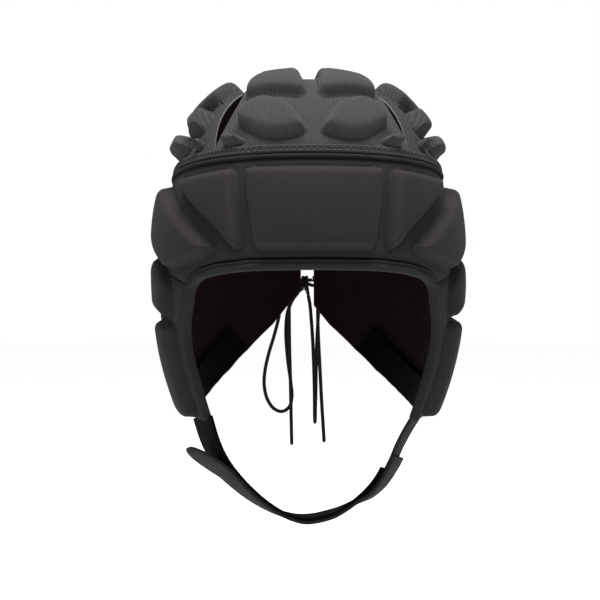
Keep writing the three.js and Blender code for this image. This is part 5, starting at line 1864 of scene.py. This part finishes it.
class SCRUMCAP_OT_bow(bpy.types.Operator):
    """Make the knot, the bow's two loops and the lace's two ends"""

    bl_idname = "scrumcap.bow"
    bl_label = "Bow"

    def execute(self, context):
        sizes = context.scene.scrum_cap_sizes
        radius = sizes.lace / mm / 2
        middle = knot_centre(sizes.wall / mm)
        for name, route in LACE_ROUTES.items():
            points = curve_through(np.array(route) + middle, 400)
            points = evenly(points, round(line_length(points) / 0.8))
            skin = Skin()
            tube(skin, points, radius)
            piece = skin.make(name.replace("lace_", "loose_lace_"), [Materials.get("lace")])
            stand_for(piece, name, slot="lace_cloth")
        self.knot(middle, radius)
        return {"FINISHED"}

    def knot(self, middle, radius):
        """Two wraps over the strands that go into the bow's loops and ends."""
        skin = Skin()
        turn = np.linspace(0, 2 * math.pi, 49)[:-1]
        for shift, lean, high in ((-1.15, 0.35, 3.3), (0.95, 0.1, 3.4)):
            ring = np.stack(
                [shift + lean * np.sin(turn), 2.45 * np.cos(turn) + 0.2, high * np.sin(turn)], -1
            )
            tube(skin, ring + middle, radius * 1.04, hoop=True)
        strands = [
            [(4.5, 2.75, 2), (2.2, 1.6, 1.7), (0, 0.6, 0.9), (-2.6, 0.3, 0), (-5.3, 0.5, -1.4)],
            [(-4.5, 2.55, 2), (-2.2, 0.9, 1.4), (0, -0.6, 0.4), (2.6, 0, -0.6), (5.3, 0.6, -1.4)],
            [(-3.2, 3.6, -4.9), (-2, 2.2, -3.2), (-1, 0.8, -1.4), (0.4, -0.4, -0.6)],
            [(2.2, 5.2, -6.2), (1.7, 3.6, -3.8), (1.3, 1.8, -2), (0.6, 0.6, -1)],
        ]
        for strand in strands:
            tube(skin, evenly(curve_through(np.array(strand) + middle, 80), 24), radius)
        piece = skin.make("bow_knot", [Materials.get("lace")])
        stand_for(piece, "lace_knot", slot="lace_cloth")


# The stage

CAMERA_DISTANCE = 1.05
CAMERA_HEIGHT = -0.109
CAMERA_TURN = math.radians(2.1)
CAMERA_SHIFT = -0.00384
CAMERA_LENS = 123
FLOOR_HEIGHT = -0.3
FLOOR_RADIUS = 8
FLOOR_GLOW = 0.85
SKY_LIGHT = 0.22
LIGHT_AIM = (0, 0, -0.1)
# name, place, size, power
LAMPS = [
    ("top_light", (0.0, -0.25, 1.25), (1.0, 0.8), 58),
    ("right_light", (-1.35, -0.45, 0.25), (0.8, 1.2), 3),
    ("left_light", (1.35, -0.45, 0.25), (0.8, 1.2), 3),
    ("front_light", (0.1, -1.7, 0.55), (1.0, 0.8), 4),
    ("back_light", (0.0, 1.5, 0.5), (1.2, 0.8), 6),
]


class SCRUMCAP_OT_stage(bpy.types.Operator):
    """Make the pale floor, the soft lights and the camera"""

    bl_idname = "scrumcap.stage"
    bl_label = "Stage"

    def execute(self, context):
        self.floor()
        self.world(context)
        for lamp in LAMPS:
            self.lamp(*lamp)
        self.camera(context)
        return {"FINISHED"}

    def floor(self):
        bpy.ops.object.select_all(action="DESELECT")
        bpy.ops.mesh.primitive_circle_add(
            vertices=64, radius=FLOOR_RADIUS, fill_type="NGON", location=(0, 0, FLOOR_HEIGHT)
        )
        floor = bpy.context.active_object
        floor.name = "floor"
        material = bpy.data.materials.new("pale_floor")
        material.use_nodes = True
        shader = material.node_tree.nodes["Principled BSDF"]
        shader.inputs["Base Color"].default_value = (0.5, 0.5, 0.49, 1)
        shader.inputs["Roughness"].default_value = 0.9
        shader.inputs["Emission Color"].default_value = (1, 1, 1, 1)
        shader.inputs["Emission Strength"].default_value = FLOOR_GLOW
        floor.data.materials.append(material)

    def world(self, context):
        world = bpy.data.worlds.new("studio")
        world.use_nodes = True
        tree = world.node_tree
        soft = tree.nodes["Background"]
        soft.inputs["Color"].default_value = (1, 1, 1, 1)
        soft.inputs["Strength"].default_value = SKY_LIGHT
        bright = add_node(tree, "ShaderNodeBackground", {"Color": (1, 1, 1, 1), "Strength": 1.0})
        path = add_node(tree, "ShaderNodeLightPath")
        mix = add_node(
            tree,
            "ShaderNodeMixShader",
            {0: path.outputs["Is Camera Ray"], 1: soft.outputs[0], 2: bright.outputs[0]},
        )
        tree.links.new(mix.outputs[0], tree.nodes["World Output"].inputs["Surface"])
        context.scene.world = world

    def lamp(self, name, place, size, power):
        bpy.ops.object.light_add(type="AREA", location=place)
        lamp = bpy.context.active_object
        lamp.name = name
        lamp.data.shape = "RECTANGLE"
        lamp.data.size, lamp.data.size_y = size
        lamp.data.energy = power
        aim = Vector(LIGHT_AIM) - Vector(place)
        lamp.rotation_euler = aim.to_track_quat("-Z", "Y").to_euler()

    def camera(self, context):
        place = (
            -math.tan(CAMERA_TURN) * CAMERA_DISTANCE + CAMERA_SHIFT,
            -CAMERA_DISTANCE,
            CAMERA_HEIGHT,
        )
        bpy.ops.object.camera_add(location=place, rotation=(math.pi / 2, 0, -CAMERA_TURN))
        camera = bpy.context.active_object
        camera.data.lens = CAMERA_LENS
        camera.data.sensor_width = 36
        camera.data.clip_start = 0.05
        context.scene.camera = camera
        context.scene.view_settings.view_transform = "Standard"


# The add-on


OPERATORS = (
    SCRUMCAP_OT_cloths,
    SCRUMCAP_OT_brow,
    SCRUMCAP_OT_sides,
    SCRUMCAP_OT_nape,
    SCRUMCAP_OT_crown,
    SCRUMCAP_OT_crown_trim,
    SCRUMCAP_OT_binding,
    SCRUMCAP_OT_strap_roots,
    SCRUMCAP_OT_chin_strap,
    SCRUMCAP_OT_lace_loops,
    SCRUMCAP_OT_lace_strands,
    SCRUMCAP_OT_bow,
    SCRUMCAP_OT_stage,
)


class SCRUMCAP_PT_panel(bpy.types.Panel):
    """The cap's sizes, colours and steps"""

    bl_idname = "SCRUMCAP_PT_panel"
    bl_label = "Scrum cap"
    bl_space_type = "VIEW_3D"
    bl_region_type = "UI"
    bl_category = "Scrum cap"

    def draw(self, context):
        layout = self.layout
        for group in (context.scene.scrum_cap_sizes, context.scene.scrum_cap_colours):
            box = layout.box()
            for name in group.__annotations__:
                box.prop(group, name)
        for operator in OPERATORS:
            layout.operator(operator.bl_idname)


CLASSES = (CapSizes, CapColours, *OPERATORS, SCRUMCAP_PT_panel)


def register():
    for cls in CLASSES:
        bpy.utils.register_class(cls)
    bpy.types.Scene.scrum_cap_sizes = bpy.props.PointerProperty(type=CapSizes)
    bpy.types.Scene.scrum_cap_colours = bpy.props.PointerProperty(type=CapColours)


def unregister():
    del bpy.types.Scene.scrum_cap_colours
    del bpy.types.Scene.scrum_cap_sizes
    for cls in reversed(CLASSES):
        bpy.utils.unregister_class(cls)


def main():
    register()
    bpy.ops.scrumcap.cloths()
    bpy.ops.scrumcap.brow()
    bpy.ops.scrumcap.sides()
    bpy.ops.scrumcap.nape()
    bpy.ops.scrumcap.crown()
    bpy.ops.scrumcap.crown_trim()
    bpy.ops.scrumcap.binding()
    bpy.ops.scrumcap.strap_roots()
    bpy.ops.scrumcap.chin_strap()
    bpy.ops.scrumcap.lace_loops()
    bpy.ops.scrumcap.lace_strands()
    bpy.ops.scrumcap.bow()
    bpy.ops.scrumcap.stage()


if __name__ == "__main__":
    main()
